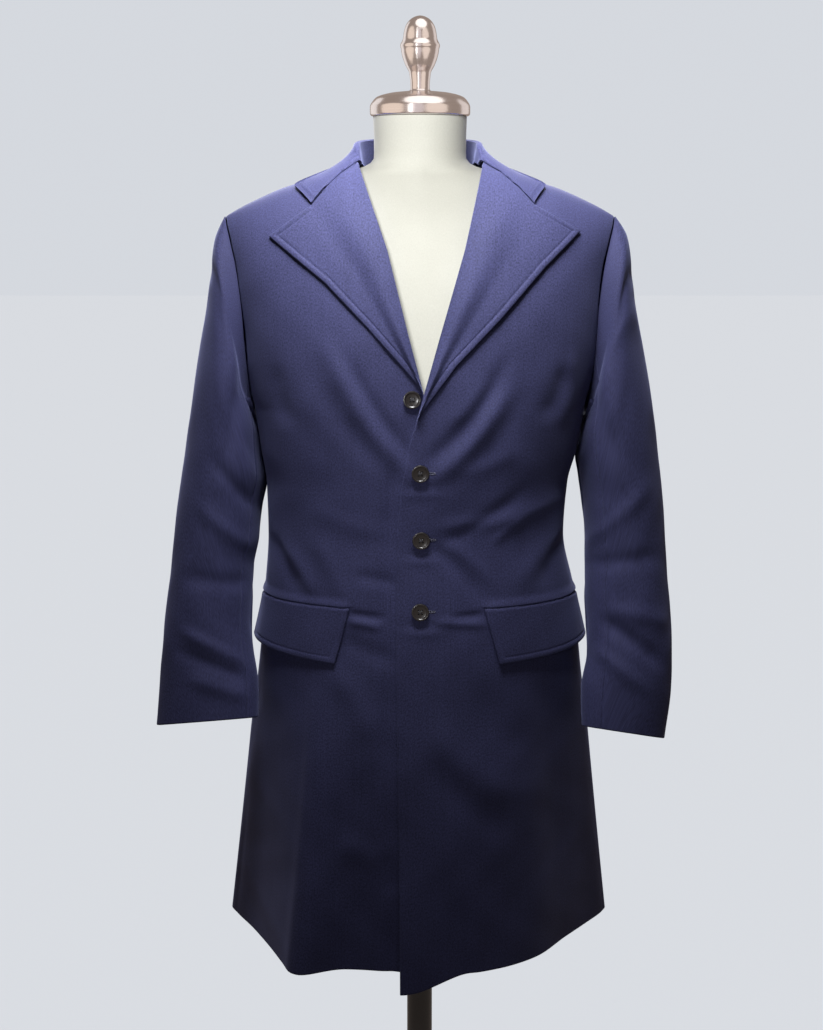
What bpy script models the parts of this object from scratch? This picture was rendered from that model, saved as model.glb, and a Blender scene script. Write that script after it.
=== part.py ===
"""Frock coat worn on a limbless dress form, at real size, in metres, +Z up.

The coat's front faces -Y and its left side is +X. The floor is at z = 0.
Each cloth piece is a sheet with a real wall, cut from one coat surface, and
lies about 0.3 mm clear of the pieces it is sewn to.
"""
import math

import bmesh
import bpy
import numpy as np
from mathutils import Matrix, Vector

# Cloth and seams.
WALL = 0.0025
SEAM_HALF = 0.0002
LAYER_LIFT = 0.0013

# Levels of the coat.
HEM_Z = 0.540
SKIRT_TOP_Z = 0.930
ARMPIT_Z = 1.215
RIDGE_Y = 0.0
SKIRT_FLARE = 1.10

# Rows and columns of the cloth grids.
SKIRT_ROWS = (0.0, 0.13, 0.28, 0.42, 0.52, 0.58, 0.653, 0.72, 0.78, 0.84, 0.90, 0.95)
YOKE_ROWS = 10
FRONT_COLUMNS = 9
SLEEVE_STEP = 18.0

# Horizontal sections: height, right half, left half, front, back, middle y, power.
SECTIONS = (
    (0.900, 0.2005, 0.2005, 0.160, 0.142, 0.015, 2.10),
    (0.982, 0.1940, 0.1930, 0.149, 0.129, 0.006, 2.10),
    (1.056, 0.1885, 0.1785, 0.142, 0.117, 0.000, 2.10),
    (1.120, 0.1900, 0.1830, 0.148, 0.128, 0.000, 2.18),
    (1.160, 0.1960, 0.1935, 0.152, 0.138, 0.000, 2.25),
    (1.215, 0.2035, 0.2035, 0.155, 0.145, 0.000, 2.30),
)

# The hem seen from above: angle from the front centre, x, y.
HEM_PLAN = (
    (-180, 0.000, 0.205),
    (-165, -0.062, 0.199),
    (-150, -0.122, 0.190),
    (-130, -0.197, 0.160),
    (-110, -0.236, 0.118),
    (-90, -0.2475, 0.078),
    (-78, -0.2380, 0.050),
    (-60, -0.2140, -0.006),
    (-50, -0.1910, -0.068),
    (-42, -0.1685, -0.132),
    (-38, -0.1570, -0.164),
    (-34, -0.1435, -0.172),
    (-21, -0.0900, -0.153),
    (-5, -0.0240, -0.163),
    (0, 0.0000, -0.166),
    (15, 0.0630, -0.164),
    (23, 0.0960, -0.150),
    (35, 0.1430, -0.110),
    (49, 0.1850, -0.040),
    (60, 0.2130, 0.010),
    (78, 0.2400, 0.058),
    (90, 0.2450, 0.075),
    (110, 0.2350, 0.116),
    (130, 0.1970, 0.160),
    (150, 0.1220, 0.190),
    (165, 0.0620, 0.199),
    (180, 0.0000, 0.205),
)

# Shoulder line seen from the front: distance from the centre, height.
SHOULDER = (
    (0.000, 1.5300),
    (0.050, 1.5190),
    (0.078, 1.5085),
    (0.101, 1.5000),
    (0.124, 1.4915),
    (0.152, 1.4835),
    (0.170, 1.4775),
    (0.204, 1.4625),
    (0.220, 1.4545),
    (0.238, 1.4440),
)

# Above the armpit: turn towards the shoulder line, half width, armhole angle.
ARMHOLE = (
    (0.000, 0.2035, 90.0),
    (0.024, 0.2060, 85.5),
    (0.095, 0.2120, 80.0),
    (0.206, 0.2180, 76.0),
    (0.345, 0.2240, 73.4),
    (0.500, 0.2315, 72.4),
    (0.655, 0.2385, 73.2),
    (0.794, 0.2415, 75.2),
    (0.905, 0.2415, 77.5),
    (1.000, 0.2412, 80.0),
)

# Inner edges of the fronts seen from the front: height, x.
LEFT_FRONT_EDGE = (
    (0.540, -0.0223),
    (0.940, -0.0284),
    (1.026, -0.0275),
    (1.080, -0.0262),
    (1.123, -0.0230),
    (1.157, -0.0175),
    (1.182, -0.0125),
    (1.207, -0.0050),
    (1.303, 0.0230),
    (1.406, 0.0533),
    (1.490, 0.0730),
    (1.509, 0.0790),
)
RIGHT_FRONT_EDGE = (
    (0.540, 0.0200),
    (0.940, 0.0220),
    (1.150, 0.0220),
    (1.207, 0.0130),
    (1.240, 0.0040),
    (1.303, -0.0140),
    (1.406, -0.0402),
    (1.490, -0.0695),
    (1.509, -0.0790),
)

# The left front laps over the right one, and its hem corner swings out.
LAP_RISE = 0.0036
LAP_FLAT_X = 0.030
LAP_END_X = 0.085
LAP_TOP_Z = 1.245
LAP_FADE = 0.060
CORNER_X = -0.0223
CORNER_SWING = 0.012
CORNER_DROP = 0.024
CORNER_REACH_X = 0.085
CORNER_TOP_Z = 0.720

# Lapels seen from the front: x and height along the roll, the edge and the top.
RIGHT_ROLL = ((0.0035, 1.242), (-0.0125, 1.303), (-0.0387, 1.4065), (-0.0740, 1.5075))
RIGHT_LAPEL_EDGE = ((-0.0010, 1.249), (-0.0610, 1.316), (-0.1100, 1.3665), (-0.1790, 1.4210))
RIGHT_GORGE = ((-0.0740, 1.5075), (-0.0945, 1.4945), (-0.1120, 1.4775), (-0.1285, 1.4575))
LEFT_ROLL = ((-0.0045, 1.210), (0.0217, 1.303), (0.0518, 1.4060), (0.0750, 1.5070))
LEFT_LAPEL_EDGE = ((-0.0005, 1.2165), (0.0414, 1.2725), (0.0913, 1.324), (0.146, 1.385), (0.190, 1.427))
LEFT_GORGE = ((0.0750, 1.5070), (0.0975, 1.4945), (0.1160, 1.4775), (0.1350, 1.4570))
LAPEL_ROWS = (0, 0.14, 0.28, 0.42, 0.56, 0.68, 0.78, 0.86, 0.92, 0.965, 1.0)
GORGE_SHARES = (0.0, 0.25, 0.5, 0.75, 1.0)
NOTCH_SHARES = (0.5, 1.0)
NOTCH_AT = 0.545
LAPEL_ROLL_RISE = 0.0045
LAPEL_EDGE_RISE = {"left": 0.0042, "right": 0.0024}
LAPEL_BREAK_SHARE = 0.3

# Collar, from its front end to the centre back: crest x, y, z; foot x, y, z;
# neck x and turn on the coat; outer edge x and turn on the coat.
COLLAR = (
    (0.0738, -0.0215, 1.5112, 0.0712, -0.0165, 1.5085, 0.0750, 0.914, 0.1310, 0.700),
    (0.0755, -0.0110, 1.5225, 0.0715, -0.0070, 1.5100, 0.0790, 0.960, 0.1500, 0.860),
    (0.0765, 0.0000, 1.5295, 0.0715, 0.0030, 1.5110, 0.0800, 1.000, 0.1280, 0.945),
    (0.0765, 0.0130, 1.5330, 0.0705, 0.0150, 1.5105, 0.0790, 1.060, 0.1080, 1.010),
    (0.0735, 0.0290, 1.5350, 0.0675, 0.0285, 1.5080, 0.0740, 1.130, 0.1015, 1.090),
    (0.0665, 0.0450, 1.5365, 0.0605, 0.0425, 1.5030, 0.0660, 1.200, 0.0930, 1.190),
    (0.0530, 0.0610, 1.5380, 0.0480, 0.0570, 1.4975, 0.0520, 1.265, 0.0730, 1.290),
    (0.0290, 0.0740, 1.5395, 0.0260, 0.0675, 1.4925, 0.0280, 1.315, 0.0400, 1.355),
    (0.0000, 0.0785, 1.5400, 0.0000, 0.0710, 1.4905, 0.0000, 1.330, 0.0000, 1.375),
)
BACK_NECK_HALF = 0.078
BACK_NECK_COSINE = 0.512
COLLAR_STATIONS = (0, 0.35, 0.7, 1, 1.4, 1.8, 2.2, 2.6, 3, 3.5, 4, 5, 6, 7, 8)
COLLAR_FOLD = 0.0036
COLLAR_LIFT = 0.0031
COLLAR_DROP_POWER = 3.2
LEFT_CREST_PULL = 0.06
GORGE_GAP = 0.0007

# Columns of each back from its centre to its side seam, and its centre vent.
BACK_SHARES = (0, 0.055, 0.11, 0.155, 0.19, 0.30, 0.44, 0.58, 0.72, 0.86, 1.0)
VENT_TOP_Z = 0.940
VENT_LAP = 0.022
VENT_LAP_ANGLE = 5.0
VENT_RAMP = 0.030
VENT_SINK = 0.0040
VENT_SINK_TOP_Z = 1.026
VENT_SINK_RAMP = 0.045

# Pocket flaps: top and bottom height, front x at each, end angle at each.
FLAP_TOP_Z = 0.982
FLAP_BOTTOM_Z = 0.914
FLAP_FRONT_TOP_X = {"left": 0.0760, "right": 0.0840}
FLAP_FRONT_BOTTOM_X = {"left": 0.0945, "right": 0.1015}
FLAP_END_TOP_ANGLE = 84.0
FLAP_END_BOTTOM_ANGLE = 89.0
FLAP_END_RISE = 0.009
FLAP_FRONT_STAND = 0.0015
FLAP_END_STAND = 0.0070

# Sleeves, from the shoulder down: outer x, z; inner x, z; middle y, half depth.
SLEEVE_HEAD = (0.2390, 1.444, 0.2037, 1.215, 0.000, 0.050)
RIGHT_SLEEVE = (
    (0.2500, 1.420, 0.2060, 1.203, 0.000, 0.056),
    (0.2560, 1.382, 0.2018, 1.190, 0.002, 0.064),
    (0.2630, 1.335, 0.1988, 1.172, 0.003, 0.071),
    (0.2730, 1.275, 0.1957, 1.148, 0.004, 0.075),
    (0.2820, 1.215, 0.1915, 1.118, 0.003, 0.074),
    (0.2905, 1.160, 0.1978, 1.085, 0.000, 0.070),
    (0.2985, 1.108, 0.2000, 1.050, -0.006, 0.065),
    (0.3050, 1.055, 0.2075, 1.015, -0.013, 0.060),
    (0.3100, 1.008, 0.2080, 0.980, -0.021, 0.055),
    (0.3150, 0.962, 0.2090, 0.947, -0.030, 0.051),
    (0.3185, 0.922, 0.2065, 0.914, -0.040, 0.047),
    (0.3220, 0.876, 0.2010, 0.874, -0.052, 0.042),
    (0.3250, 0.823, 0.2000, 0.833, -0.066, 0.037),
)
LEFT_SLEEVE = (
    (0.2520, 1.424, 0.2060, 1.203, 0.000, 0.056),
    (0.2590, 1.388, 0.2018, 1.190, 0.002, 0.064),
    (0.2650, 1.340, 0.1982, 1.172, 0.003, 0.071),
    (0.2765, 1.277, 0.1944, 1.150, 0.004, 0.075),
    (0.2870, 1.216, 0.1985, 1.122, 0.003, 0.074),
    (0.2945, 1.160, 0.2030, 1.090, 0.000, 0.070),
    (0.3010, 1.105, 0.2050, 1.055, -0.006, 0.065),
    (0.3045, 1.052, 0.2062, 1.018, -0.013, 0.060),
    (0.3080, 1.003, 0.2048, 0.981, -0.021, 0.055),
    (0.3110, 0.957, 0.2065, 0.945, -0.030, 0.051),
    (0.3125, 0.912, 0.2070, 0.908, -0.041, 0.047),
    (0.3110, 0.866, 0.2005, 0.868, -0.053, 0.042),
    (0.3020, 0.806, 0.2000, 0.822, -0.066, 0.037),
)
FOREARM_SEAM = {"left": 126.0, "right": 144.0}
HIND_SEAM = 234.0
SLEEVE_GAP = 0.0008
SLEEVE_RADIUS = 0.05
CUFF_TILT = 0.22

# Buttons: x, height, and how far the cloth under each stands out.
BUTTON_PLACES = (
    (-0.0096, 1.234, 0.0),
    (0.0000, 1.148, LAP_RISE),
    (0.0010, 1.067, LAP_RISE),
    (0.0000, 0.981, LAP_RISE),
)
BUTTON_RADIUS = 0.0105
BUTTON_HOLE_RADIUS = 0.0011
BUTTON_HOLE_REACH = 0.0025
BUTTON_GAP = 0.0005
# Button profile: radius, height above its back.
BUTTON_PROFILE = (
    (0.0085, 0.0000),
    (0.0102, 0.0012),
    (BUTTON_RADIUS, 0.0026),
    (0.0096, 0.0040),
    (0.0080, 0.0040),
    (0.0066, 0.0028),
)

# Dress form: height, half width, front, back, middle y.
FORM_SECTIONS = (
    (0.800, 0.172, 0.122, 0.118, 0.006),
    (0.806, 0.178, 0.128, 0.124, 0.006),
    (0.880, 0.184, 0.135, 0.126, 0.006),
    (0.960, 0.178, 0.131, 0.113, 0.004),
    (1.056, 0.166, 0.124, 0.100, 0.000),
    (1.130, 0.174, 0.134, 0.116, 0.000),
    (1.200, 0.188, 0.141, 0.131, 0.000),
)
FORM_POWER = 2.25
FORM_HALF = 0.212
FORM_SIDE_DEPTH = 0.020
FORM_ARM_X = 0.194
FORM_SEAT = 0.0037
FORM_RIDGE_HALF = 0.004
FORM_SIDE_POINTS = 13
FORM_YOKE_HEIGHTS = (1.25, 1.30, 1.345, 1.385, 1.417, 1.439, 1.456, 1.470, 1.482, 1.492, 1.498)
NECK_Y = 0.005
# Neck: height, radius.
NECK = ((1.507, 0.0570), (1.522, 0.0560), (1.5645, 0.0570))

# Neck cap, finial, pole and base: radius, height.
CAP_PROFILE = (
    (0.0600, 1.5650),
    (0.0610, 1.5665),
    (0.0610, 1.5765),
    (0.0600, 1.5792),
    (0.0580, 1.5822),
    (0.0549, 1.5860),
    (0.0518, 1.5882),
    (0.0448, 1.5906),
    (0.0340, 1.5929),
    (0.0185, 1.5945),
)
FINIAL_PROFILE = (
    (0.0135, 1.5948),
    (0.0116, 1.5965),
    (0.0118, 1.6060),
    (0.0131, 1.6165),
    (0.0137, 1.6184),
    (0.0174, 1.6246),
    (0.0205, 1.6323),
    (0.0226, 1.6400),
    (0.0230, 1.6452),
    (0.0240, 1.6470),
    (0.0240, 1.6500),
    (0.0226, 1.6525),
    (0.0208, 1.6560),
    (0.0203, 1.6600),
    (0.0196, 1.6650),
    (0.0180, 1.6712),
    (0.0154, 1.6760),
    (0.0112, 1.6805),
    (0.0060, 1.6833),
    (0.0018, 1.6842),
)
POLE_RADIUS = 0.016
BASE_PROFILE = ((0.1900, 0.0000), (0.1950, 0.0020), (0.1950, 0.0090), (0.1920, 0.0120))
ROUND_SIDES = 24
POLE_GAP = 0.0003

CLOTH_COLOUR = (0.055, 0.058, 0.115)
BUTTON_COLOUR = (0.014, 0.011, 0.010)
COVER_COLOUR = (0.78, 0.77, 0.68)
NICKEL_COLOUR = (0.62, 0.53, 0.45)
STAND_COLOUR = (0.030, 0.030, 0.032)


def columns(table):
    """The table's columns as arrays."""
    return np.array(table, float).T


def smooth(stops, values, at):
    """A curve through the table's rows that never overshoots them."""
    step = np.diff(stops)
    slope = np.diff(values) / step
    product = slope[:-1] * slope[1:]
    total = slope[:-1] + slope[1:]
    total = np.where(np.abs(total) < 1e-12, 1.0, total)
    inner = np.where(product > 0, 2 * product / total, 0.0)
    tangent = np.concatenate(([slope[0]], inner, [slope[-1]]))
    at = np.clip(at, stops[0], stops[-1])
    row = np.clip(np.searchsorted(stops, at, side="right") - 1, 0, len(step) - 1)
    share = (at - stops[row]) / step[row]
    rest = 1 - share
    start = (1 + 2 * share) * rest**2 * values[row]
    end = share**2 * (3 - 2 * share) * values[row + 1]
    leave = share * rest**2 * step[row] * tangent[row]
    arrive = -(share**2) * rest * step[row] * tangent[row + 1]
    return start + end + leave + arrive


def ease(value):
    """0 below 0, 1 above 1, and a soft step between."""
    value = np.clip(value, 0.0, 1.0)
    return value * value * (3 - 2 * value)


def shoulder_height(x):
    distance, height = columns(SHOULDER)
    return smooth(distance, height, np.abs(x))


def oval(angle, half, front, back, middle, power):
    """A superellipse seen from above, with its own front and back depth."""
    turn = np.radians(angle)
    across = np.sign(np.sin(turn)) * np.abs(np.sin(turn)) ** (2 / power)
    along = np.abs(np.cos(turn)) ** (2 / power)
    depth = np.where(np.abs(angle) <= 90, -front, back)
    return half * across, middle + depth * along


def body_section(angle, height):
    """x and y of the coat below the armpits."""
    stops, right, left, front, back, middle, power = columns(SECTIONS)
    half = np.where(angle < 0, smooth(stops, right, height), smooth(stops, left, height))
    x, y = oval(
        angle, half, smooth(stops, front, height), smooth(stops, back, height),
        smooth(stops, middle, height), smooth(stops, power, height),
    )
    hem_angle, hem_x, hem_y = columns(HEM_PLAN)
    drop = np.clip((SKIRT_TOP_Z - height) / (SKIRT_TOP_Z - HEM_Z), 0.0, 1.0)
    share = drop**SKIRT_FLARE
    x = x + share * (smooth(hem_angle, hem_x, angle) - x)
    y = y + share * (smooth(hem_angle, hem_y, angle) - y)
    return x, y


def surface(angle, level):
    """The coat's outer surface.

    The angle runs from the front centre to the left side at 90 degrees. The
    level is 0 at the hem, 1 at the armpits and 2 on the shoulder line, and
    past 2 it goes down the other side.
    """
    angle, level = np.broadcast_arrays(np.asarray(angle, float), np.asarray(level, float))
    angle = (angle + 180) % 360 - 180
    over = level > 2
    angle = np.where(over, np.sign(angle) * (180 - np.abs(angle)), angle)
    level = np.where(over, 4 - level, level)
    height = HEM_Z + np.clip(level, 0, 1) * (ARMPIT_Z - HEM_Z)
    low_x, low_y = body_section(angle, height)
    turn_stops, half, _ = columns(ARMHOLE)
    _, _, _, front, back, middle, power = SECTIONS[-1]
    turn = np.clip(level - 1, 0, 1)
    tilt = turn * math.pi / 2
    high_x, high_y = oval(angle, smooth(turn_stops, half, turn), front, back, middle, power)
    high_y = RIDGE_Y + (high_y - RIDGE_Y) * np.cos(tilt)
    high_z = ARMPIT_Z + (shoulder_height(high_x) - ARMPIT_Z) * np.sin(tilt)
    above = level > 1
    return np.stack([
        np.where(above, high_x, low_x),
        np.where(above, high_y, low_y),
        np.where(above, high_z, height),
    ], axis=-1)


def unit(vectors):
    length = np.linalg.norm(vectors, axis=-1, keepdims=True)
    return vectors / np.maximum(length, 1e-9)


def surface_normal(angle, level):
    """The outward direction of the coat's surface."""
    spread = 0.6
    rise = 0.004
    around = surface(angle + spread, level) - surface(angle - spread, level)
    upward = surface(angle, level + rise) - surface(angle, level - rise)
    return unit(np.cross(around, upward))


def level_at(x, height):
    """The level of the front or back surface at x and a height."""
    rise = (height - ARMPIT_Z) / (shoulder_height(x) - ARMPIT_Z)
    above = 1 + np.arcsin(np.clip(rise, 0, 1)) / (math.pi / 2)
    below = (height - HEM_Z) / (ARMPIT_Z - HEM_Z)
    return np.where(height > ARMPIT_Z, above, below)


def front_angle(x, level):
    """The angle where the front surface has this x, one row at a time."""
    x, level = np.broadcast_arrays(np.asarray(x, float), np.asarray(level, float))
    trial = np.linspace(-89.5, 89.5, 359)
    found = [
        np.interp(one_x, surface(trial, np.full(trial.shape, one_level))[:, 0], trial)
        for one_x, one_level in zip(x.ravel(), level.ravel())
    ]
    return np.array(found).reshape(x.shape)


def front_point(x, height, out):
    """A point over the front surface, and its outward direction."""
    level = level_at(x, height)
    angle = front_angle(x, level)
    normal = surface_normal(angle, level)
    return surface(angle, level) + normal * np.asarray(out)[..., None], normal


def along(points, share):
    """Points at shares of a line's length."""
    points = np.array(points, float)
    length = np.concatenate(([0], np.cumsum(np.linalg.norm(np.diff(points, axis=0), axis=1))))
    length = length / length[-1]
    return np.stack([np.interp(share, length, column) for column in points.T], axis=-1)


def add_object(name, mesh, material):
    mesh.materials.append(material)
    item = bpy.data.objects.new(name, mesh)
    bpy.context.collection.objects.link(item)
    return item


def make_material(name, colour, roughness, metallic):
    material = bpy.data.materials.new(name)
    material.use_nodes = True
    shader = material.node_tree.nodes["Principled BSDF"]
    shader.inputs["Base Color"].default_value = (*colour, 1.0)
    shader.inputs["Roughness"].default_value = roughness
    shader.inputs["Metallic"].default_value = metallic
    return material


def close_mesh(name, vertices, faces, material):
    """One closed body with its faces pointing out."""
    build = bmesh.new()
    made = [build.verts.new(vertex) for vertex in vertices]
    for face in faces:
        build.faces.new([made[index] for index in face])
    bmesh.ops.recalc_face_normals(build, faces=build.faces)
    mesh = bpy.data.meshes.new(name)
    build.to_mesh(mesh)
    build.free()
    mesh.shade_smooth()
    mesh.set_sharp_from_angle(angle=math.radians(40))
    return add_object(name, mesh, material)


def make_sheet(name, outer, inner, material):
    """A cloth sheet between two grids of points, closed along its rims."""
    rows, across = outer.shape[:2]
    vertices = np.concatenate([outer.reshape(-1, 3), inner.reshape(-1, 3)])
    under = rows * across
    faces = []
    for row in range(rows - 1):
        for column in range(across - 1):
            corner = row * across + column
            quad = (corner, corner + 1, corner + across + 1, corner + across)
            faces.append(quad)
            faces.append(tuple(under + index for index in reversed(quad)))
    rim = [column for column in range(across)]
    rim += [row * across + across - 1 for row in range(1, rows)]
    rim += [(rows - 1) * across + column for column in range(across - 2, -1, -1)]
    rim += [row * across for row in range(rows - 2, 0, -1)]
    for start, end in zip(rim, rim[1:] + rim[:1]):
        faces.append((end, start, under + start, under + end))
    return close_mesh(name, vertices, faces, material)


def grid_normals(points):
    """Directions square to a grid of points."""
    return unit(np.cross(np.gradient(points, axis=1), np.gradient(points, axis=0)))


def turned(name, profile, centre, material, sides=ROUND_SIDES):
    """A solid turned round a vertical axis, flat at both ends."""
    turn = np.arange(sides) * 2 * math.pi / sides
    vertices = [
        (centre[0] + radius * math.cos(angle), centre[1] + radius * math.sin(angle), height)
        for radius, height in profile
        for angle in turn
    ]
    rings = len(profile)
    return close_mesh(name, vertices, ring_faces(rings, sides), material)


def ring_faces(rings, sides):
    """Faces of a stack of rings, with a cap on each end."""
    faces = [tuple(range(sides)), tuple((rings - 1) * sides + side for side in range(sides))]
    for ring in range(rings - 1):
        for side in range(sides):
            after = (side + 1) % sides
            low = ring * sides
            faces.append((low + side, low + after, low + sides + after, low + sides + side))
    return faces


def yoke_turns():
    """Turns of the rows above the armpit, shared by the sleeve head."""
    angle = np.linspace(math.pi, 0, YOKE_ROWS + 1)
    return (1 + np.cos(angle)) / 2


def body_levels():
    return np.concatenate((np.array(SKIRT_ROWS), 1 + yoke_turns()))


def armhole_angle(level):
    """The angle of the side seam, and above it of the armhole."""
    stops, _, edge = columns(ARMHOLE)
    return smooth(stops, edge, np.clip(level - 1, 0, 1))


def edge_x(table, level):
    """The x of a front's inner edge at a level."""
    stops, values = columns(table)
    tilt = math.sin(max(level - 1, 0) * math.pi / 2)
    height = HEM_Z + min(level, 1) * (ARMPIT_Z - HEM_Z)
    x = smooth(stops, values, height)
    for _ in range(12):
        if level > 1:
            height = ARMPIT_Z + (shoulder_height(x) - ARMPIT_Z) * tilt
        x = smooth(stops, values, height)
    return float(x)


def lap_rise(points):
    """How far the left front stands out where it laps the right front."""
    x = points[..., 0]
    height = points[..., 2]
    across = 1 - ease((x - LAP_FLAT_X) / (LAP_END_X - LAP_FLAT_X))
    top = 1 - ease((height - LAP_TOP_Z) / LAP_FADE)
    return LAP_RISE * across * top


def corner_swing(points):
    """1 at the hem corner of the left front, 0 away from it."""
    x = points[..., 0]
    height = points[..., 2]
    across = 1 - ease((x - CORNER_X) / CORNER_REACH_X)
    low = ease((CORNER_TOP_Z - height) / (CORNER_TOP_Z - HEM_Z))
    return across * low


def make_front(side, material):
    sign = 1 if side == "left" else -1
    table = LEFT_FRONT_EDGE if side == "left" else RIGHT_FRONT_EDGE
    levels = body_levels()
    share = np.linspace(0, 1, FRONT_COLUMNS + 1)
    inner_angle = np.array([front_angle(edge_x(table, level), level) for level in levels])
    outer_angle = sign * armhole_angle(levels)
    angle = inner_angle[:, None] + (outer_angle - inner_angle)[:, None] * share
    level = np.broadcast_to(levels[:, None], angle.shape)
    points = surface(angle, level)
    normal = surface_normal(angle, level)
    if side == "left":
        swing = corner_swing(points)
        out = lap_rise(points) + CORNER_SWING * swing
        points = points + normal * out[..., None]
        points[..., 2] -= CORNER_DROP * swing * ease((HEM_Z + 0.10 - points[..., 2]) / 0.10)
    points = points + np.array([sign * SEAM_HALF, -SEAM_HALF, 0])
    return make_sheet(f"front_{side}", points, points - normal * WALL, material)


def back_top_turn(share):
    """Turn of the back's top edge: the neck, then the shoulder line."""
    _, half, _ = ARMHOLE[-1]
    power = SECTIONS[-1][-1]
    x = half * np.sin(np.radians(share * ARMHOLE[-1][2])) ** (2 / power)
    inside = np.sqrt(np.clip(1 - (x / BACK_NECK_HALF) ** 2, 0, 1))
    return np.arccos(BACK_NECK_COSINE * inside) / (math.pi / 2)


def vent_reach(height):
    """0 above the vent, 1 in it."""
    return ease((VENT_TOP_Z - height) / VENT_RAMP)


def make_back(side, material):
    sign = 1 if side == "left" else -1
    levels = body_levels()
    share = np.array(BACK_SHARES)
    top = back_top_turn(share)
    level = np.where(levels[:, None] > 1, 1 + (levels[:, None] - 1) * top, levels[:, None])
    edge = 180 - armhole_angle(levels)[:, None]
    height = HEM_Z + np.minimum(levels[:, None], 1) * (ARMPIT_Z - HEM_Z)
    centre = 180 + VENT_LAP_ANGLE * vent_reach(height)
    angle = sign * (edge + (centre - edge) * (1 - share))
    points = surface(angle, level)
    normal = surface_normal(angle, level)
    if side == "right":
        near = 1 - ease((np.abs(points[..., 0]) - VENT_LAP) / VENT_LAP)
        sink = VENT_SINK * near * ease((VENT_SINK_TOP_Z - height) / VENT_SINK_RAMP)
        points = points - normal * sink[..., None]
    points = points + np.array([sign * SEAM_HALF, SEAM_HALF, 0])
    return make_sheet(f"back_{side}", points, points - normal * WALL, material)


def sleeve_point(side, angle, ring):
    """A point on a sleeve: angle 0 on its outer line, 90 in front.

    Ring 0 is the armhole; the other rings are the rows of the sleeve's table.
    """
    sign = 1 if side == "left" else -1
    rows = columns(LEFT_SLEEVE if side == "left" else RIGHT_SLEEVE)
    turn = np.radians(angle)
    level = 1 + (1 + np.cos(turn)) / 2
    edge = armhole_angle(level)
    ahead = np.sin(turn) >= 0
    hole = surface(np.where(ahead, edge, 180 - edge), level)
    hole[..., 0] += SLEEVE_GAP
    hole[..., 1] += np.where(ahead, -SEAM_HALF, SEAM_HALF)
    stops = np.arange(rows.shape[1] + 1.0)
    outer_x, outer_z, inner_x, inner_z, middle, depth = [
        smooth(stops, np.concatenate(([head], row)), ring) for head, row in zip(SLEEVE_HEAD, rows)
    ]
    share = (1 + np.cos(turn)) / 2
    tilt = CUFF_TILT * (ring / len(LEFT_SLEEVE)) ** 2
    hang = np.stack([
        inner_x + (outer_x - inner_x) * share,
        middle - depth * np.sin(turn),
        inner_z + (outer_z - inner_z) * share + tilt * depth * np.sin(turn),
    ], axis=-1)
    stay = np.clip(1 - ring, 0, 1)[..., None]
    point = hang + (hole - hang) * stay
    point[..., 0] *= sign
    return point


def sleeve_inward(side, angle, ring):
    """The direction into a sleeve, square to its cloth."""
    around = sleeve_point(side, angle + 1.0, ring) - sleeve_point(side, angle - 1.0, ring)
    down = sleeve_point(side, angle, ring + 0.05) - sleeve_point(side, angle, ring - 0.05)
    middle = sleeve_point(side, angle, ring) - sleeve_point(side, angle + 180.0, ring)
    square = unit(np.cross(around, down))
    return -square * np.sign(np.sum(square * middle, axis=-1, keepdims=True))


def make_sleeve_piece(name, side, start, end, material):
    rings = len(RIGHT_SLEEVE)
    count = int(round((end - start) / SLEEVE_STEP))
    trim = math.degrees(SEAM_HALF / SLEEVE_RADIUS)
    angle = np.linspace(start, end, count + 1)
    angle[0] += trim
    angle[-1] -= trim
    ring, angle = np.meshgrid(np.arange(rings + 1.0), angle, indexing="ij")
    points = sleeve_point(side, angle, ring)
    inward = sleeve_inward(side, angle, np.maximum(ring, 0.6))
    sign = 1 if side == "left" else -1
    inward[0, :, 0] = sign * np.maximum(sign * inward[0, :, 0], 0)
    inward = unit(inward)
    return make_sheet(name, points, points + inward * WALL, material)


def lapel_grid(roll, edge, gorge):
    """x and height over a lapel, from its break up to its gorge and notch."""
    up = np.array(LAPEL_ROWS)
    roll_points = along(roll, up)
    edge_points = along(edge, up)
    notch = along((gorge[-1], edge[-1]), NOTCH_SHARES)
    top = np.concatenate([along(gorge, GORGE_SHARES), notch])
    beyond = NOTCH_AT + (1 - NOTCH_AT) * np.array(NOTCH_SHARES)
    share = np.concatenate([NOTCH_AT * np.array(GORGE_SHARES), beyond])
    plain = roll_points[:, None] + (edge_points - roll_points)[:, None] * share[:, None]
    bend = top - (roll_points[-1] + (edge_points[-1] - roll_points[-1]) * share[:, None])
    grid = plain + bend * (up**3)[:, None, None]
    grid[..., 1] -= GORGE_GAP * up[:, None] ** 3
    return grid, share


def make_lapel(side, material):
    if side == "left":
        grid, share = lapel_grid(LEFT_ROLL, LEFT_LAPEL_EDGE, LEFT_GORGE)
    else:
        grid, share = lapel_grid(RIGHT_ROLL, RIGHT_LAPEL_EDGE, RIGHT_GORGE)
    lift = np.full(grid.shape[:2], LAYER_LIFT + WALL)
    top_fade = 1 - np.array(LAPEL_ROWS)[:, None] ** 4
    lift += LAPEL_ROLL_RISE * np.sin(math.pi * np.clip(share / 0.6, 0, 1)) ** 2 * top_fade
    free = np.clip(np.array(LAPEL_ROWS)[:, None] / LAPEL_BREAK_SHARE, 0, 1)
    lift += LAPEL_EDGE_RISE[side] * share**2 * free
    if side == "left":
        base, _ = front_point(grid[..., 0], grid[..., 1], np.zeros(grid.shape[:2]))
        lift += lap_rise(base)
    points, normal = front_point(grid[..., 0], grid[..., 1], lift)
    return make_sheet(f"lapel_{side}", points, points - normal * WALL, material)


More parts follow.
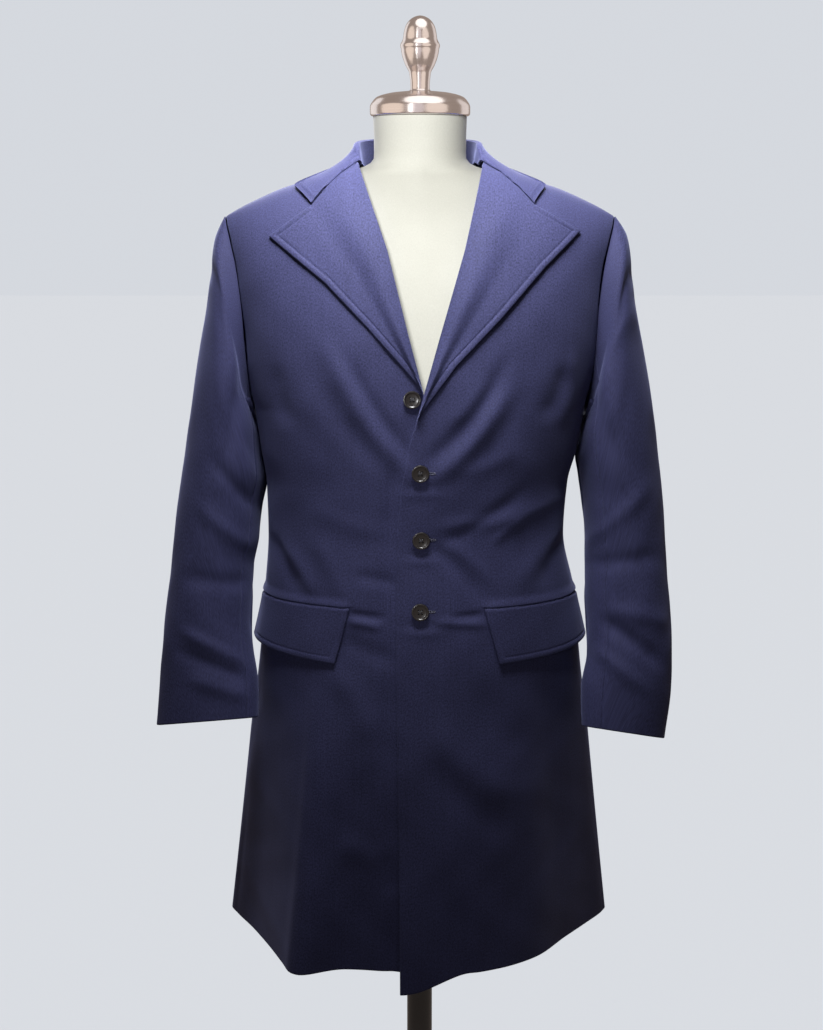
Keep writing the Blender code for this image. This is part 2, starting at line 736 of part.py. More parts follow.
def collar_rib(station, side):
    """Points across the collar at one station: foot, stand, crest, fall."""
    sign = 1 if side == "left" else -1
    gorge = LEFT_GORGE if side == "left" else RIGHT_GORGE
    stops = np.arange(len(COLLAR), dtype=float)
    row = [float(smooth(stops, column, station)) for column in columns(COLLAR)]
    slim = sign * (1 - LEFT_CREST_PULL * ease(station / 2) if side == "left" else 1)
    crest = np.array([slim * row[0], row[1], row[2]])
    foot = np.array([slim * row[3], row[4], row[5]])
    outward = unit(np.array([crest[0], crest[1] - NECK_Y, 0.0]))
    fold = COLLAR_FOLD * (0.25 + 0.75 * ease(station / 2))
    drop = np.array([0, 0, fold])
    rib = [foot, foot + (crest - foot) * 0.55 - outward * 0.001]
    rib.append(crest - outward * fold * 0.7 - drop * 0.9)
    rib.append(crest)
    leave = crest + outward * fold - drop
    rib.append(leave)
    neck_x, neck_turn, end_x, end_turn = row[6:]
    start, _ = coat_at(sign * neck_x, neck_turn)
    for share in GORGE_SHARES[1:]:
        x = neck_x + (end_x - neck_x) * share
        turn = neck_turn + (end_turn - neck_turn) * share
        if station < 1:
            seam = along(gorge, share)
            seam_turn = float(level_at(seam[0], seam[1] + GORGE_GAP)) - 1
            x = abs(seam[0]) + (x - abs(seam[0])) * station
            turn = seam_turn + (turn - seam_turn) * station
        base, normal = coat_at(sign * x, turn)
        height = (1 - share) ** COLLAR_DROP_POWER
        rib.append(base + (leave - start) * height + normal * COLLAR_LIFT * (1 - height))
    return np.array(rib)


def coat_at(x, turn):
    """A point over the shoulder, and its outward direction.

    The turn is 0 at the armpit's level in front, 1 on the shoulder line and 2
    at the armpit's level behind.
    """
    level = 1 + (turn if turn <= 1 else 2 - turn)
    half = smooth(*columns(ARMHOLE)[:2], level - 1)
    power = SECTIONS[-1][-1]
    away = math.degrees(math.asin(min(abs(x) / half, 1) ** (power / 2)))
    angle = away if turn <= 1 else 180 - away
    angle = math.copysign(angle, x) if x else angle
    return surface(angle, level), surface_normal(angle, level)


def make_collar(material):
    ribs = [collar_rib(station, "right") for station in COLLAR_STATIONS]
    ribs += [collar_rib(station, "left") for station in COLLAR_STATIONS[-2::-1]]
    middle = np.array(ribs)
    normal = grid_normals(middle)
    outer = middle + normal * WALL / 2
    return make_sheet("collar", outer, middle - normal * WALL / 2, material)


def make_flap(side, material):
    sign = 1 if side == "left" else -1
    drop = np.linspace(0, 1, 4)
    share = np.linspace(0, 1, 9)
    height = FLAP_TOP_Z + (FLAP_BOTTOM_Z - FLAP_TOP_Z) * drop
    rise = FLAP_END_RISE * drop[:, None] * share
    front_x = FLAP_FRONT_TOP_X[side] + (FLAP_FRONT_BOTTOM_X[side] - FLAP_FRONT_TOP_X[side]) * drop
    levels = (height - HEM_Z) / (ARMPIT_Z - HEM_Z)
    start = front_angle(sign * front_x, levels)
    end = sign * (FLAP_END_TOP_ANGLE + (FLAP_END_BOTTOM_ANGLE - FLAP_END_TOP_ANGLE) * drop)
    angle = start[:, None] + (end - start)[:, None] * share
    level = levels[:, None] + rise / (ARMPIT_Z - HEM_Z)
    stand = FLAP_FRONT_STAND + (FLAP_END_STAND - FLAP_FRONT_STAND) * share**2
    out = LAYER_LIFT * 0.75 + WALL + stand * drop[:, None] ** 1.3
    normal = surface_normal(angle, level)
    points = surface(angle, level)
    if side == "left":
        out = out + lap_rise(points)
    points = points + normal * out[..., None]
    return make_sheet(f"flap_{side}", points, points - normal * WALL, material)


def make_button(number, place, material):
    x, height, under = place
    point, normal = front_point(x, height, under + BUTTON_GAP)
    button = turned(f"button_{number}", BUTTON_PROFILE, (0, 0), material, sides=20)
    for side_x in (-BUTTON_HOLE_REACH, BUTTON_HOLE_REACH):
        for side_y in (-BUTTON_HOLE_REACH, BUTTON_HOLE_REACH):
            bpy.ops.mesh.primitive_cylinder_add(
                vertices=8, radius=BUTTON_HOLE_RADIUS, depth=0.012, location=(side_x, side_y, 0.002)
            )
            cutter = bpy.context.object
            cutter.name = f"cutter_{number}"
            cut = button.modifiers.new("hole", "BOOLEAN")
            cut.object = cutter
            cut.operation = "DIFFERENCE"
            cutter.hide_render = True
            cutter.display_type = "WIRE"
            cutter.parent = button
    button.location = point
    button.rotation_mode = "QUATERNION"
    button.rotation_quaternion = direction_turn(normal)
    return button


def direction_turn(facing):
    """The rotation that turns +Z to a direction, keeping +Y near upright."""
    ahead = Vector(facing).normalized()
    side = Vector((0, 0, 1)).cross(ahead).normalized()
    upright = ahead.cross(side)
    return Matrix((side, upright, ahead)).transposed().to_quaternion()


def form_ring(height):
    """One level ring of the torso, front points first, then back ones."""
    stops, half, front, back, middle = columns(FORM_SECTIONS)
    spread = np.linspace(-1, 1, FORM_SIDE_POINTS)
    place = np.sin(spread * math.pi / 2)
    width = float(smooth(stops, half, height))
    ahead = float(smooth(stops, front, height))
    behind = float(smooth(stops, back, height))
    centre = float(smooth(stops, middle, height))
    if height > FORM_SECTIONS[-1][0]:
        width = form_reach(height)
        x = place * width
        top = shoulder_height(x) - FORM_SEAT
        rise = np.clip((height - ARMPIT_Z) / (top - ARMPIT_Z), 0, 1)
        lean = np.sqrt(1 - rise**2)
        thin = np.clip(1 - (np.abs(x) / FORM_HALF) ** FORM_POWER, 0, 1) ** (1 / FORM_POWER)
        front_y = np.minimum(-ahead * thin * lean, -FORM_RIDGE_HALF)
        back_y = np.maximum(behind * thin * lean, FORM_RIDGE_HALF)
    else:
        x = place * width
        thin = np.clip(1 - np.abs(place) ** FORM_POWER, 0.0, 1) ** (1 / FORM_POWER)
        front_y = centre - np.maximum(ahead * thin, FORM_SIDE_DEPTH)
        back_y = centre + np.maximum(behind * thin, FORM_SIDE_DEPTH)
    ring = [(a, b, height) for a, b in zip(x, front_y)]
    ring += [(a, b, height) for a, b in zip(x[::-1], back_y[::-1])]
    return ring


def form_reach(height):
    """How far out the torso goes at a height above the armpit."""
    trial = np.linspace(0, FORM_ARM_X, 400)
    inside = shoulder_height(trial) - FORM_SEAT >= height
    return float(trial[inside][-1])


def make_torso(material):
    heights = [row[0] for row in FORM_SECTIONS] + list(FORM_YOKE_HEIGHTS)
    vertices = []
    for height in heights:
        vertices += form_ring(height)
    sides = 2 * FORM_SIDE_POINTS
    spread = np.linspace(-1, 1, FORM_SIDE_POINTS) * math.pi / 2 * (1 - 1 / FORM_SIDE_POINTS)
    for height, radius in NECK:
        ahead = [(radius * math.sin(a), NECK_Y - radius * math.cos(a), height) for a in spread]
        vertices += ahead
        vertices += [(x, 2 * NECK_Y - y, z) for x, y, z in reversed(ahead)]
    rings = len(heights) + len(NECK)
    return close_mesh("form_torso", vertices, ring_faces(rings, sides), material)


def main():
    for item in list(bpy.data.objects):
        bpy.data.objects.remove(item, do_unlink=True)
    cloth = make_material("coat_cloth", CLOTH_COLOUR, 0.8, 0.0)
    dark = make_material("button_dark", BUTTON_COLOUR, 0.25, 0.0)
    cover = make_material("form_cover", COVER_COLOUR, 0.7, 0.0)
    nickel = make_material("nickel", NICKEL_COLOUR, 0.3, 1.0)
    black = make_material("stand_black", STAND_COLOUR, 0.4, 0.0)
    for side in ("left", "right"):
        make_front(side, cloth)
        make_back(side, cloth)
        make_lapel(side, cloth)
        make_flap(side, cloth)
        seam = FOREARM_SEAM[side]
        make_sleeve_piece(f"sleeve_upper_{side}", side, HIND_SEAM - 360, seam, cloth)
        make_sleeve_piece(f"sleeve_under_{side}", side, seam, HIND_SEAM, cloth)
    make_collar(cloth)
    for number, place in enumerate(BUTTON_PLACES, start=1):
        make_button(number, place, dark)
    make_torso(cover)
    turned("neck_cap", CAP_PROFILE, (0, NECK_Y), nickel)
    turned("finial", FINIAL_PROFILE, (0, NECK_Y), nickel)
    pole_top = FORM_SECTIONS[0][0] - POLE_GAP
    pole_foot = BASE_PROFILE[-1][1] + POLE_GAP
    pole = ((POLE_RADIUS, pole_foot), (POLE_RADIUS, pole_top))
    turned("pole", pole, (0, 0), black)
    turned("base", BASE_PROFILE, (0, 0), black, sides=48)


main()
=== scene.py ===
"""Frock coat worn on a limbless dress form: the surfaces that show.

Metres, +Z up, the coat's front towards -Y and its left side at +X. Each cloth
piece is a thin shell on the form of its solid, with its creases, pressed
seams and stitched edges laid one by one, in a woven twill.
"""
import math

import bmesh
import bpy
import numpy as np
from mathutils import Matrix, Vector

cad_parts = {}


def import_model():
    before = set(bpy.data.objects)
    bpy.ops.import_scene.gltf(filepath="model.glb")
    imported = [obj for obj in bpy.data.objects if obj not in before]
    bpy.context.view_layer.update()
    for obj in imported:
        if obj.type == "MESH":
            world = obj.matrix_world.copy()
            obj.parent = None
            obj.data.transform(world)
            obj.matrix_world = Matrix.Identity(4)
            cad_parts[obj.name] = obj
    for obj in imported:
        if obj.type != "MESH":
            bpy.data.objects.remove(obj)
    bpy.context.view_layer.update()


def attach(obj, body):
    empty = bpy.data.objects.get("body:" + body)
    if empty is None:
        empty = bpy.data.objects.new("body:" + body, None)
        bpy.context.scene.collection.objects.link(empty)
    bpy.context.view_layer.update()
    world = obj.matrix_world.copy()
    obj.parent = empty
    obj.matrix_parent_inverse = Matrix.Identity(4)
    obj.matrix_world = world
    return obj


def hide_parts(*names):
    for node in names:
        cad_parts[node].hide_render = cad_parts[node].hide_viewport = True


# The photograph's camera.
LENS_MM = 73.05
SENSOR_MM = 36.0
CAMERA_PLACE = (-0.0104, -2.58, 1.464)
CAMERA_TILT = 81.43

# Cloth and seams.
WALL = 0.0025
SEAM_HALF = 0.0002
LAYER_LIFT = 0.0013

# Levels of the coat.
HEM_Z = 0.540
SKIRT_TOP_Z = 0.930
ARMPIT_Z = 1.215
RIDGE_Y = 0.0
SKIRT_FLARE = 1.10
SKIRT_BEND = 0.40
SKIRT_BEND_SHARE = 0.35

SIGN = {"left": 1, "right": -1}
# Edges that turn by more than this many degrees are shaded sharp.
CLOTH_SHARP = 55
BUTTON_SHARP = 35
COVER_SHARP = 60
TURNED_SHARP = 50
# Turn in degrees and rise in levels over which the surface's direction is taken.
NORMAL_TURN = 0.6
NORMAL_RISE = 0.004

# Fine grids: rows below and above the armpit, columns, and sleeve steps.
LOW_ROWS = 190
HIGH_ROWS = 84
FRONT_COLUMNS = 84
BACK_COLUMNS = 64
SLEEVE_ROWS = 170
SLEEVE_STEP = 3.0
LAPEL_ROWS = 150
LAPEL_COLUMNS = 60
COLLAR_ROWS = 34
FLAP_ROWS = 40
FLAP_COLUMNS = 80
# About how wide or long each grid is, which sets its close edge columns.
FRONT_WIDTH = 0.30
BACK_WIDTH = 0.27
LAPEL_LENGTH = 0.30
LAPEL_WIDTH = 0.12
FLAP_WIDTH = 0.135
FALL_WIDTH = 0.06

# Horizontal sections: height, right half, left half, front, back, middle y, power.
SECTIONS = (
    (0.820, 0.2022, 0.2022, 0.1625, 0.1452, 0.0178, 2.10),
    (0.860, 0.2018, 0.2018, 0.1618, 0.1446, 0.0172, 2.10),
    (0.900, 0.2005, 0.2005, 0.160, 0.142, 0.015, 2.10),
    (0.982, 0.1940, 0.1930, 0.149, 0.129, 0.006, 2.10),
    (1.056, 0.1885, 0.1785, 0.142, 0.117, 0.000, 2.10),
    (1.120, 0.1900, 0.1830, 0.148, 0.128, 0.000, 2.18),
    (1.160, 0.1960, 0.1935, 0.152, 0.138, 0.000, 2.25),
    (1.215, 0.2035, 0.2035, 0.155, 0.145, 0.000, 2.30),
)

# The hem seen from above: angle from the front centre, x, y.
HEM_PLAN = (
    (-180, 0.000, 0.205),
    (-165, -0.062, 0.199),
    (-150, -0.122, 0.190),
    (-130, -0.197, 0.160),
    (-110, -0.236, 0.118),
    (-90, -0.2475, 0.078),
    (-78, -0.2380, 0.050),
    (-60, -0.2140, -0.006),
    (-50, -0.1910, -0.068),
    (-42, -0.1685, -0.132),
    (-38, -0.1570, -0.164),
    (-34, -0.1435, -0.172),
    (-21, -0.0900, -0.153),
    (-5, -0.0240, -0.163),
    (0, 0.0000, -0.166),
    (15, 0.0630, -0.164),
    (23, 0.0960, -0.150),
    (35, 0.1430, -0.110),
    (49, 0.1850, -0.040),
    (60, 0.2130, 0.010),
    (78, 0.2400, 0.058),
    (90, 0.2450, 0.075),
    (110, 0.2350, 0.116),
    (130, 0.1970, 0.160),
    (150, 0.1220, 0.190),
    (165, 0.0620, 0.199),
    (180, 0.0000, 0.205),
)

# Shoulder line seen from the front: distance from the centre, height.
SHOULDER = (
    (0.000, 1.5300),
    (0.050, 1.5190),
    (0.078, 1.5085),
    (0.101, 1.5000),
    (0.124, 1.4915),
    (0.152, 1.4835),
    (0.170, 1.4775),
    (0.204, 1.4625),
    (0.220, 1.4545),
    (0.238, 1.4440),
)

# Above the armpit: turn towards the shoulder line, half width, armhole angle.
ARMHOLE = (
    (0.000, 0.2035, 90.0),
    (0.024, 0.2060, 85.5),
    (0.095, 0.2120, 80.0),
    (0.206, 0.2180, 76.0),
    (0.345, 0.2240, 73.4),
    (0.500, 0.2315, 72.4),
    (0.655, 0.2385, 73.2),
    (0.794, 0.2415, 75.2),
    (0.905, 0.2415, 77.5),
    (1.000, 0.2412, 80.0),
)

# Inner edges of the fronts seen from the front: height, x.
LEFT_FRONT_EDGE = (
    (0.540, -0.0223),
    (0.940, -0.0284),
    (1.026, -0.0275),
    (1.080, -0.0262),
    (1.123, -0.0230),
    (1.157, -0.0175),
    (1.182, -0.0125),
    (1.207, -0.0050),
    (1.303, 0.0230),
    (1.406, 0.0533),
    (1.490, 0.0730),
    (1.509, 0.0790),
)
RIGHT_FRONT_EDGE = (
    (0.540, 0.0200),
    (0.940, 0.0220),
    (1.150, 0.0220),
    (1.207, 0.0130),
    (1.240, 0.0040),
    (1.303, -0.0140),
    (1.406, -0.0402),
    (1.490, -0.0695),
    (1.509, -0.0790),
)
FRONT_EDGES = {"left": LEFT_FRONT_EDGE, "right": RIGHT_FRONT_EDGE}

# The left front laps over the right one, and its hem corner swings out.
LAP_RISE = 0.0036
LAP_FLAT_X = 0.030
LAP_END_X = 0.085
LAP_TOP_Z = 1.245
LAP_FADE = 0.060
LAP_TROUGH = 0.0030
LAP_TROUGH_AT = 0.011
LAP_TROUGH_HALF = 0.009
LAP_TROUGH_TOP_Z = 1.190
CORNER_X = -0.0223
CORNER_SWING = 0.012
CORNER_DROP = 0.024
CORNER_REACH_X = 0.085
CORNER_TOP_Z = 0.720
CORNER_FADE = 0.10

# Lapels seen from the front: x and height along the roll, the edge and the top.
RIGHT_ROLL = ((0.0035, 1.242), (-0.0125, 1.303), (-0.0387, 1.4065), (-0.0740, 1.5075))
RIGHT_LAPEL_EDGE = ((-0.0010, 1.249), (-0.0610, 1.316), (-0.1100, 1.3665), (-0.1790, 1.4210))
RIGHT_GORGE = ((-0.0740, 1.5075), (-0.0945, 1.4945), (-0.1120, 1.4775), (-0.1285, 1.4575))
LEFT_ROLL = ((-0.0045, 1.210), (0.0217, 1.303), (0.0518, 1.4060), (0.0750, 1.5070))
LEFT_LAPEL_EDGE = (
    (-0.0005, 1.2165),
    (0.0414, 1.2725),
    (0.0913, 1.324),
    (0.146, 1.385),
    (0.190, 1.427),
)
LEFT_GORGE = ((0.0750, 1.5070), (0.0975, 1.4945), (0.1160, 1.4775), (0.1350, 1.4570))
LAPELS = {
    "left": (LEFT_ROLL, LEFT_LAPEL_EDGE, LEFT_GORGE),
    "right": (RIGHT_ROLL, RIGHT_LAPEL_EDGE, RIGHT_GORGE),
}
NOTCH_AT = 0.545
NOTCH_AWAY = 0.05
NOTCH_FADE = 0.03
LAPEL_ROLL_SHARE = 0.6
LAPEL_START_SHARE = 0.04
LAPEL_WAVE_SHARE = 0.5
LAPEL_WAVE_SCALE = 1.7
LAPEL_ROLL_RISE = 0.0045
LAPEL_EDGE_RISE = {"left": 0.0018, "right": 0.0009}
LAPEL_BREAK_SHARE = 0.3

# Collar, from its front end to the centre back: crest x, y, z; foot x, y, z;
# neck x and turn on the coat; outer edge x and turn on the coat.
COLLAR = (
    (0.0738, -0.0215, 1.5112, 0.0712, -0.0165, 1.5085, 0.0750, 0.914, 0.1310, 0.700),
    (0.0755, -0.0110, 1.5225, 0.0715, -0.0070, 1.5100, 0.0790, 0.960, 0.1500, 0.860),
    (0.0765, 0.0000, 1.5295, 0.0715, 0.0030, 1.5110, 0.0800, 1.000, 0.1280, 0.945),
    (0.0765, 0.0130, 1.5330, 0.0705, 0.0150, 1.5105, 0.0790, 1.060, 0.1080, 1.010),
    (0.0735, 0.0290, 1.5350, 0.0675, 0.0285, 1.5080, 0.0740, 1.130, 0.1015, 1.090),
    (0.0665, 0.0450, 1.5365, 0.0605, 0.0425, 1.5030, 0.0660, 1.200, 0.0930, 1.190),
    (0.0530, 0.0610, 1.5380, 0.0480, 0.0570, 1.4975, 0.0520, 1.265, 0.0730, 1.290),
    (0.0290, 0.0740, 1.5395, 0.0260, 0.0675, 1.4925, 0.0280, 1.315, 0.0400, 1.355),
    (0.0000, 0.0785, 1.5400, 0.0000, 0.0710, 1.4905, 0.0000, 1.330, 0.0000, 1.375),
)
NECK_Y = 0.005
BACK_NECK_HALF = 0.078
BACK_NECK_COSINE = 0.512
COLLAR_FOLD = 0.0036
COLLAR_LIFT = 0.0031
COLLAR_DROP_POWER = 3.2
LEFT_CREST_PULL = 0.06
# The collar's stand: share of the way from foot to crest, how far it is hollowed.
COLLAR_STAND = ((0.0, 0.0), (0.3, 0.0006), (0.55, 0.001), (0.78, 0.0009))
COLLAR_FOLD_TURNS = (125, 100, 75, 50, 25)
COLLAR_END_STATIONS = (0, 0.012, 0.028, 0.05, 0.08, 0.12, 0.17, 0.22, 0.28, 0.34)
COLLAR_STATIONS = 96
COLLAR_FREE_ROWS = 6.0
COLLAR_END_SHARE = 0.6
GORGE_GAP = 0.0007
# How near the front end the fold narrows, in stations, and its share there.
COLLAR_END_REACH = 2
COLLAR_END_FOLD = 0.25
# The foot drops towards the form in front, and less past this station.
FOOT_DROP = 0.0120
FOOT_DROP_STATION = 3
FOOT_DROP_FADE = 2
FOOT_CLEAR = 0.0005

# Centre vent of the back.
VENT_TOP_Z = 0.940
VENT_LAP = 0.022
VENT_LAP_ANGLE = 5.0
VENT_RAMP = 0.030
VENT_SINK = 0.0040
VENT_SINK_TOP_Z = 0.946
VENT_SINK_RAMP = 0.018

# Pocket flaps: top and bottom height, front x at each, end angle at each.
FLAP_TOP_Z = 0.982
FLAP_BOTTOM_Z = 0.914
FLAP_FRONT_TOP_X = {"left": 0.0760, "right": 0.0840}
FLAP_FRONT_BOTTOM_X = {"left": 0.0945, "right": 0.1015}
FLAP_END_TOP_ANGLE = 84.0
FLAP_END_BOTTOM_ANGLE = 89.0
FLAP_END_RISE = 0.009
FLAP_FRONT_STAND = 0.0015
FLAP_END_STAND = 0.0070
FLAP_STAND_POWER = 1.3
FLAP_LIFT_SHARE = 0.75
FLAP_SEAM_SHARE = 1.6

# Sleeves, from the shoulder down: outer x, z; inner x, z; middle y, half depth.
SLEEVE_HEAD = (0.2390, 1.444, 0.2037, 1.215, 0.000, 0.050)
RIGHT_SLEEVE = (
    (0.2500, 1.420, 0.2060, 1.203, 0.000, 0.056),
    (0.2560, 1.382, 0.2018, 1.190, 0.002, 0.064),
    (0.2630, 1.335, 0.1988, 1.172, 0.003, 0.071),
    (0.2730, 1.275, 0.1957, 1.148, 0.004, 0.075),
    (0.2820, 1.215, 0.1915, 1.118, 0.003, 0.074),
    (0.2905, 1.160, 0.1978, 1.085, 0.000, 0.070),
    (0.2985, 1.108, 0.2000, 1.050, -0.006, 0.065),
    (0.3050, 1.055, 0.2075, 1.015, -0.013, 0.060),
    (0.3100, 1.008, 0.2080, 0.980, -0.021, 0.055),
    (0.3150, 0.962, 0.2090, 0.947, -0.030, 0.051),
    (0.3185, 0.922, 0.2065, 0.914, -0.040, 0.047),
    (0.3220, 0.876, 0.2010, 0.874, -0.052, 0.042),
    (0.3250, 0.823, 0.2000, 0.833, -0.066, 0.037),
)
LEFT_SLEEVE = (
    (0.2520, 1.424, 0.2060, 1.203, 0.000, 0.056),
    (0.2590, 1.388, 0.2018, 1.190, 0.002, 0.064),
    (0.2650, 1.340, 0.1982, 1.172, 0.003, 0.071),
    (0.2765, 1.277, 0.1944, 1.150, 0.004, 0.075),
    (0.2870, 1.216, 0.1985, 1.122, 0.003, 0.074),
    (0.2945, 1.160, 0.2030, 1.090, 0.000, 0.070),
    (0.3010, 1.105, 0.2050, 1.055, -0.006, 0.065),
    (0.3045, 1.052, 0.2062, 1.018, -0.013, 0.060),
    (0.3080, 1.003, 0.2048, 0.981, -0.021, 0.055),
    (0.3110, 0.957, 0.2065, 0.945, -0.030, 0.051),
    (0.3125, 0.912, 0.2070, 0.908, -0.041, 0.047),
    (0.3110, 0.866, 0.2005, 0.868, -0.053, 0.042),
    (0.3020, 0.806, 0.2000, 0.822, -0.066, 0.037),
)
SLEEVES = {"left": LEFT_SLEEVE, "right": RIGHT_SLEEVE}
SLEEVE_HEAD_RINGS = (0, 0.01, 0.03, 0.06, 0.1, 0.15)
SLEEVE_CUFF_RINGS = 0.2
SLEEVE_SQUARE_RING = 0.6
SLEEVE_PRESS_RINGS = 0.3
SLEEVE_CALM_RINGS = 1.5
SLEEVE_WAVE_SCALE = 1.3
# Metres from one ring of a sleeve to the next.
SLEEVE_RING = 0.049
FOREARM_SEAM = {"left": 126.0, "right": 144.0}
HIND_SEAM = 234.0
SLEEVE_GAP = 0.0008
SLEEVE_RADIUS = 0.05
CUFF_TILT = 0.22

# Stitched and turned edges: distances from the edge and heights.
RIM_REACH = 0.0014
RIM_DROP = 0.0010
STITCH_AT = 0.0078
STITCH_HALF = 0.0010
STITCH_DEPTH = 0.0008
SWELL_AT = 0.0040
SWELL_HALF = 0.0026
SWELL_HEIGHT = 0.0006
FLAP_STITCH_SHARE = 0.55
SEAM_CALM = 0.03
ARMPIT_CALM = 0.05
SEAM_REACH = 0.0035
SEAM_DEPTH = 0.0009
POCKET_STOPS = (
    -0.0060, -0.0040, -0.0026, -0.0016, -0.0008, 0.0, 0.0006, 0.0012,
    0.0018, 0.0026, 0.0036, 0.0048, 0.0062, 0.0080, 0.0100, 0.0125,
)
WELT_HEIGHT = 0.0026
WELT_AT = 0.0016
WELT_REACH = 0.0110
WELT_PAST = 0.004
WELT_FADE = 0.012
EDGE_STOPS = (0.0, 0.0005, 0.0011, 0.0018, 0.0028, 0.0040, 0.0053, 0.0064, 0.0073, 0.0082, 0.0093)

# How far a crease runs past its ends and fades, in shares of its length.
CREASE_OVER = 0.25
CREASE_FADE = 0.5
# The relief fades out below the shoulder line.
CALM_TOP_Z = 1.46
CALM_FADE = 0.10

# Creases of the fronts: from x, z; to x, z; bow; half width; height, down if < 0.
FRONT_CREASES = (
    (-0.104, 1.282, -0.020, 1.150, -0.006, 0.013, 0.0042),
    (-0.084, 1.276, -0.016, 1.170, -0.004, 0.009, -0.0032),
    (-0.128, 1.262, -0.050, 1.160, -0.006, 0.015, -0.0018),
    (0.098, 1.272, 0.014, 1.163, 0.008, 0.011, -0.0044),
    (0.096, 1.234, 0.018, 1.143, 0.006, 0.011, 0.0040),
    (0.076, 1.252, 0.038, 1.206, 0.002, 0.008, 0.0014),
    (0.120, 1.236, 0.044, 1.142, 0.008, 0.012, -0.0018),
    (0.173, 1.262, 0.150, 1.212, 0.004, 0.012, -0.0034),
    (0.182, 1.280, 0.172, 1.205, 0.002, 0.008, 0.0022),
    (-0.172, 1.262, -0.158, 1.205, -0.004, 0.012, -0.0024),
    (0.030, 1.083, 0.160, 1.104, -0.006, 0.010, 0.0030),
    (0.088, 1.062, 0.122, 1.086, 0.002, 0.007, 0.0020),
    (0.030, 1.066, 0.118, 1.118, -0.004, 0.009, -0.0030),
    (0.014, 1.058, 0.070, 0.996, 0.004, 0.011, -0.0034),
    (0.028, 1.062, 0.088, 1.010, 0.004, 0.009, 0.0018),
    (0.036, 1.148, 0.110, 1.168, -0.004, 0.010, 0.0014),
    (-0.036, 1.074, -0.120, 1.096, 0.004, 0.012, 0.0012),
    (-0.075, 1.021, -0.032, 1.014, 0.001, 0.008, -0.0020),
    (-0.178, 1.052, -0.150, 1.003, 0.002, 0.009, -0.0034),
    (-0.163, 1.047, -0.128, 0.996, 0.002, 0.010, 0.0026),
    (-0.127, 1.062, -0.087, 0.989, 0.002, 0.012, 0.0020),
    (0.166, 1.064, 0.122, 1.012, -0.003, 0.012, 0.0022),
    (0.182, 1.058, 0.150, 1.010, -0.003, 0.010, -0.0026),
    (-0.082, 0.975, -0.046, 0.972, 0.000, 0.005, -0.0022),
    (-0.084, 0.966, -0.050, 0.961, 0.001, 0.005, 0.0026),
    (0.074, 0.975, 0.040, 0.972, 0.000, 0.005, -0.0022),
    (0.074, 0.963, 0.022, 0.968, -0.001, 0.005, 0.0026),
    (-0.090, 0.942, -0.034, 0.920, 0.000, 0.012, -0.0022),
    (0.018, 0.828, 0.122, 0.749, -0.008, 0.020, 0.0030),
    (0.013, 0.792, 0.112, 0.708, -0.010, 0.022, -0.0018),
    (0.060, 0.872, 0.132, 0.806, -0.006, 0.020, -0.0016),
    (-0.098, 0.900, -0.058, 0.828, 0.004, 0.018, 0.0028),
    (-0.066, 0.880, -0.034, 0.800, 0.002, 0.016, -0.0018),
    (-0.092, 0.696, -0.048, 0.672, 0.002, 0.016, 0.0020),
    (-0.044, 0.682, -0.034, 0.640, 0.001, 0.012, -0.0014),
    (-0.140, 0.860, -0.152, 0.600, 0.006, 0.016, -0.0026),
    (0.150, 0.880, 0.176, 0.620, 0.004, 0.020, -0.0022),
)

# Rounded dents under the buttons: x, z, half width, half height, height.
BUTTON_DENTS = (
    (0.001, 1.131, 0.016, 0.006, -0.0016),
    (0.002, 1.122, 0.022, 0.006, 0.0012),
    (0.002, 1.050, 0.016, 0.006, -0.0016),
    (0.003, 1.041, 0.022, 0.006, 0.0012),
    (0.001, 0.964, 0.016, 0.006, -0.0016),
    (0.002, 0.955, 0.024, 0.006, 0.0012),
)

# Creases of the backs: from x, z; to x, z; bow; half width; height.
BACK_CREASES = (
    (0.158, 1.262, 0.110, 1.150, 0.006, 0.015, -0.0026),
    (0.176, 1.272, 0.150, 1.190, 0.003, 0.011, 0.0020),
    (-0.156, 1.270, -0.100, 1.142, -0.006, 0.016, -0.0028),
    (-0.174, 1.262, -0.144, 1.176, -0.003, 0.011, 0.0020),
    (0.150, 1.086, 0.040, 1.056, -0.004, 0.012, -0.0024),
    (0.156, 1.056, 0.052, 1.022, -0.004, 0.012, 0.0022),
    (-0.146, 1.078, -0.036, 1.050, -0.004, 0.012, -0.0026),
    (-0.158, 1.044, -0.060, 1.014, -0.004, 0.012, 0.0020),
    (0.100, 0.900, 0.124, 0.600, 0.008, 0.022, -0.0030),
    (0.060, 0.860, 0.070, 0.590, -0.006, 0.020, 0.0026),
    (-0.096, 0.890, -0.118, 0.600, 0.008, 0.022, -0.0028),
    (-0.058, 0.840, -0.074, 0.600, -0.004, 0.018, 0.0024),
    (0.176, 0.860, 0.196, 0.620, 0.004, 0.018, 0.0022),
    (-0.176, 0.850, -0.192, 0.640, 0.004, 0.018, 0.0022),
)

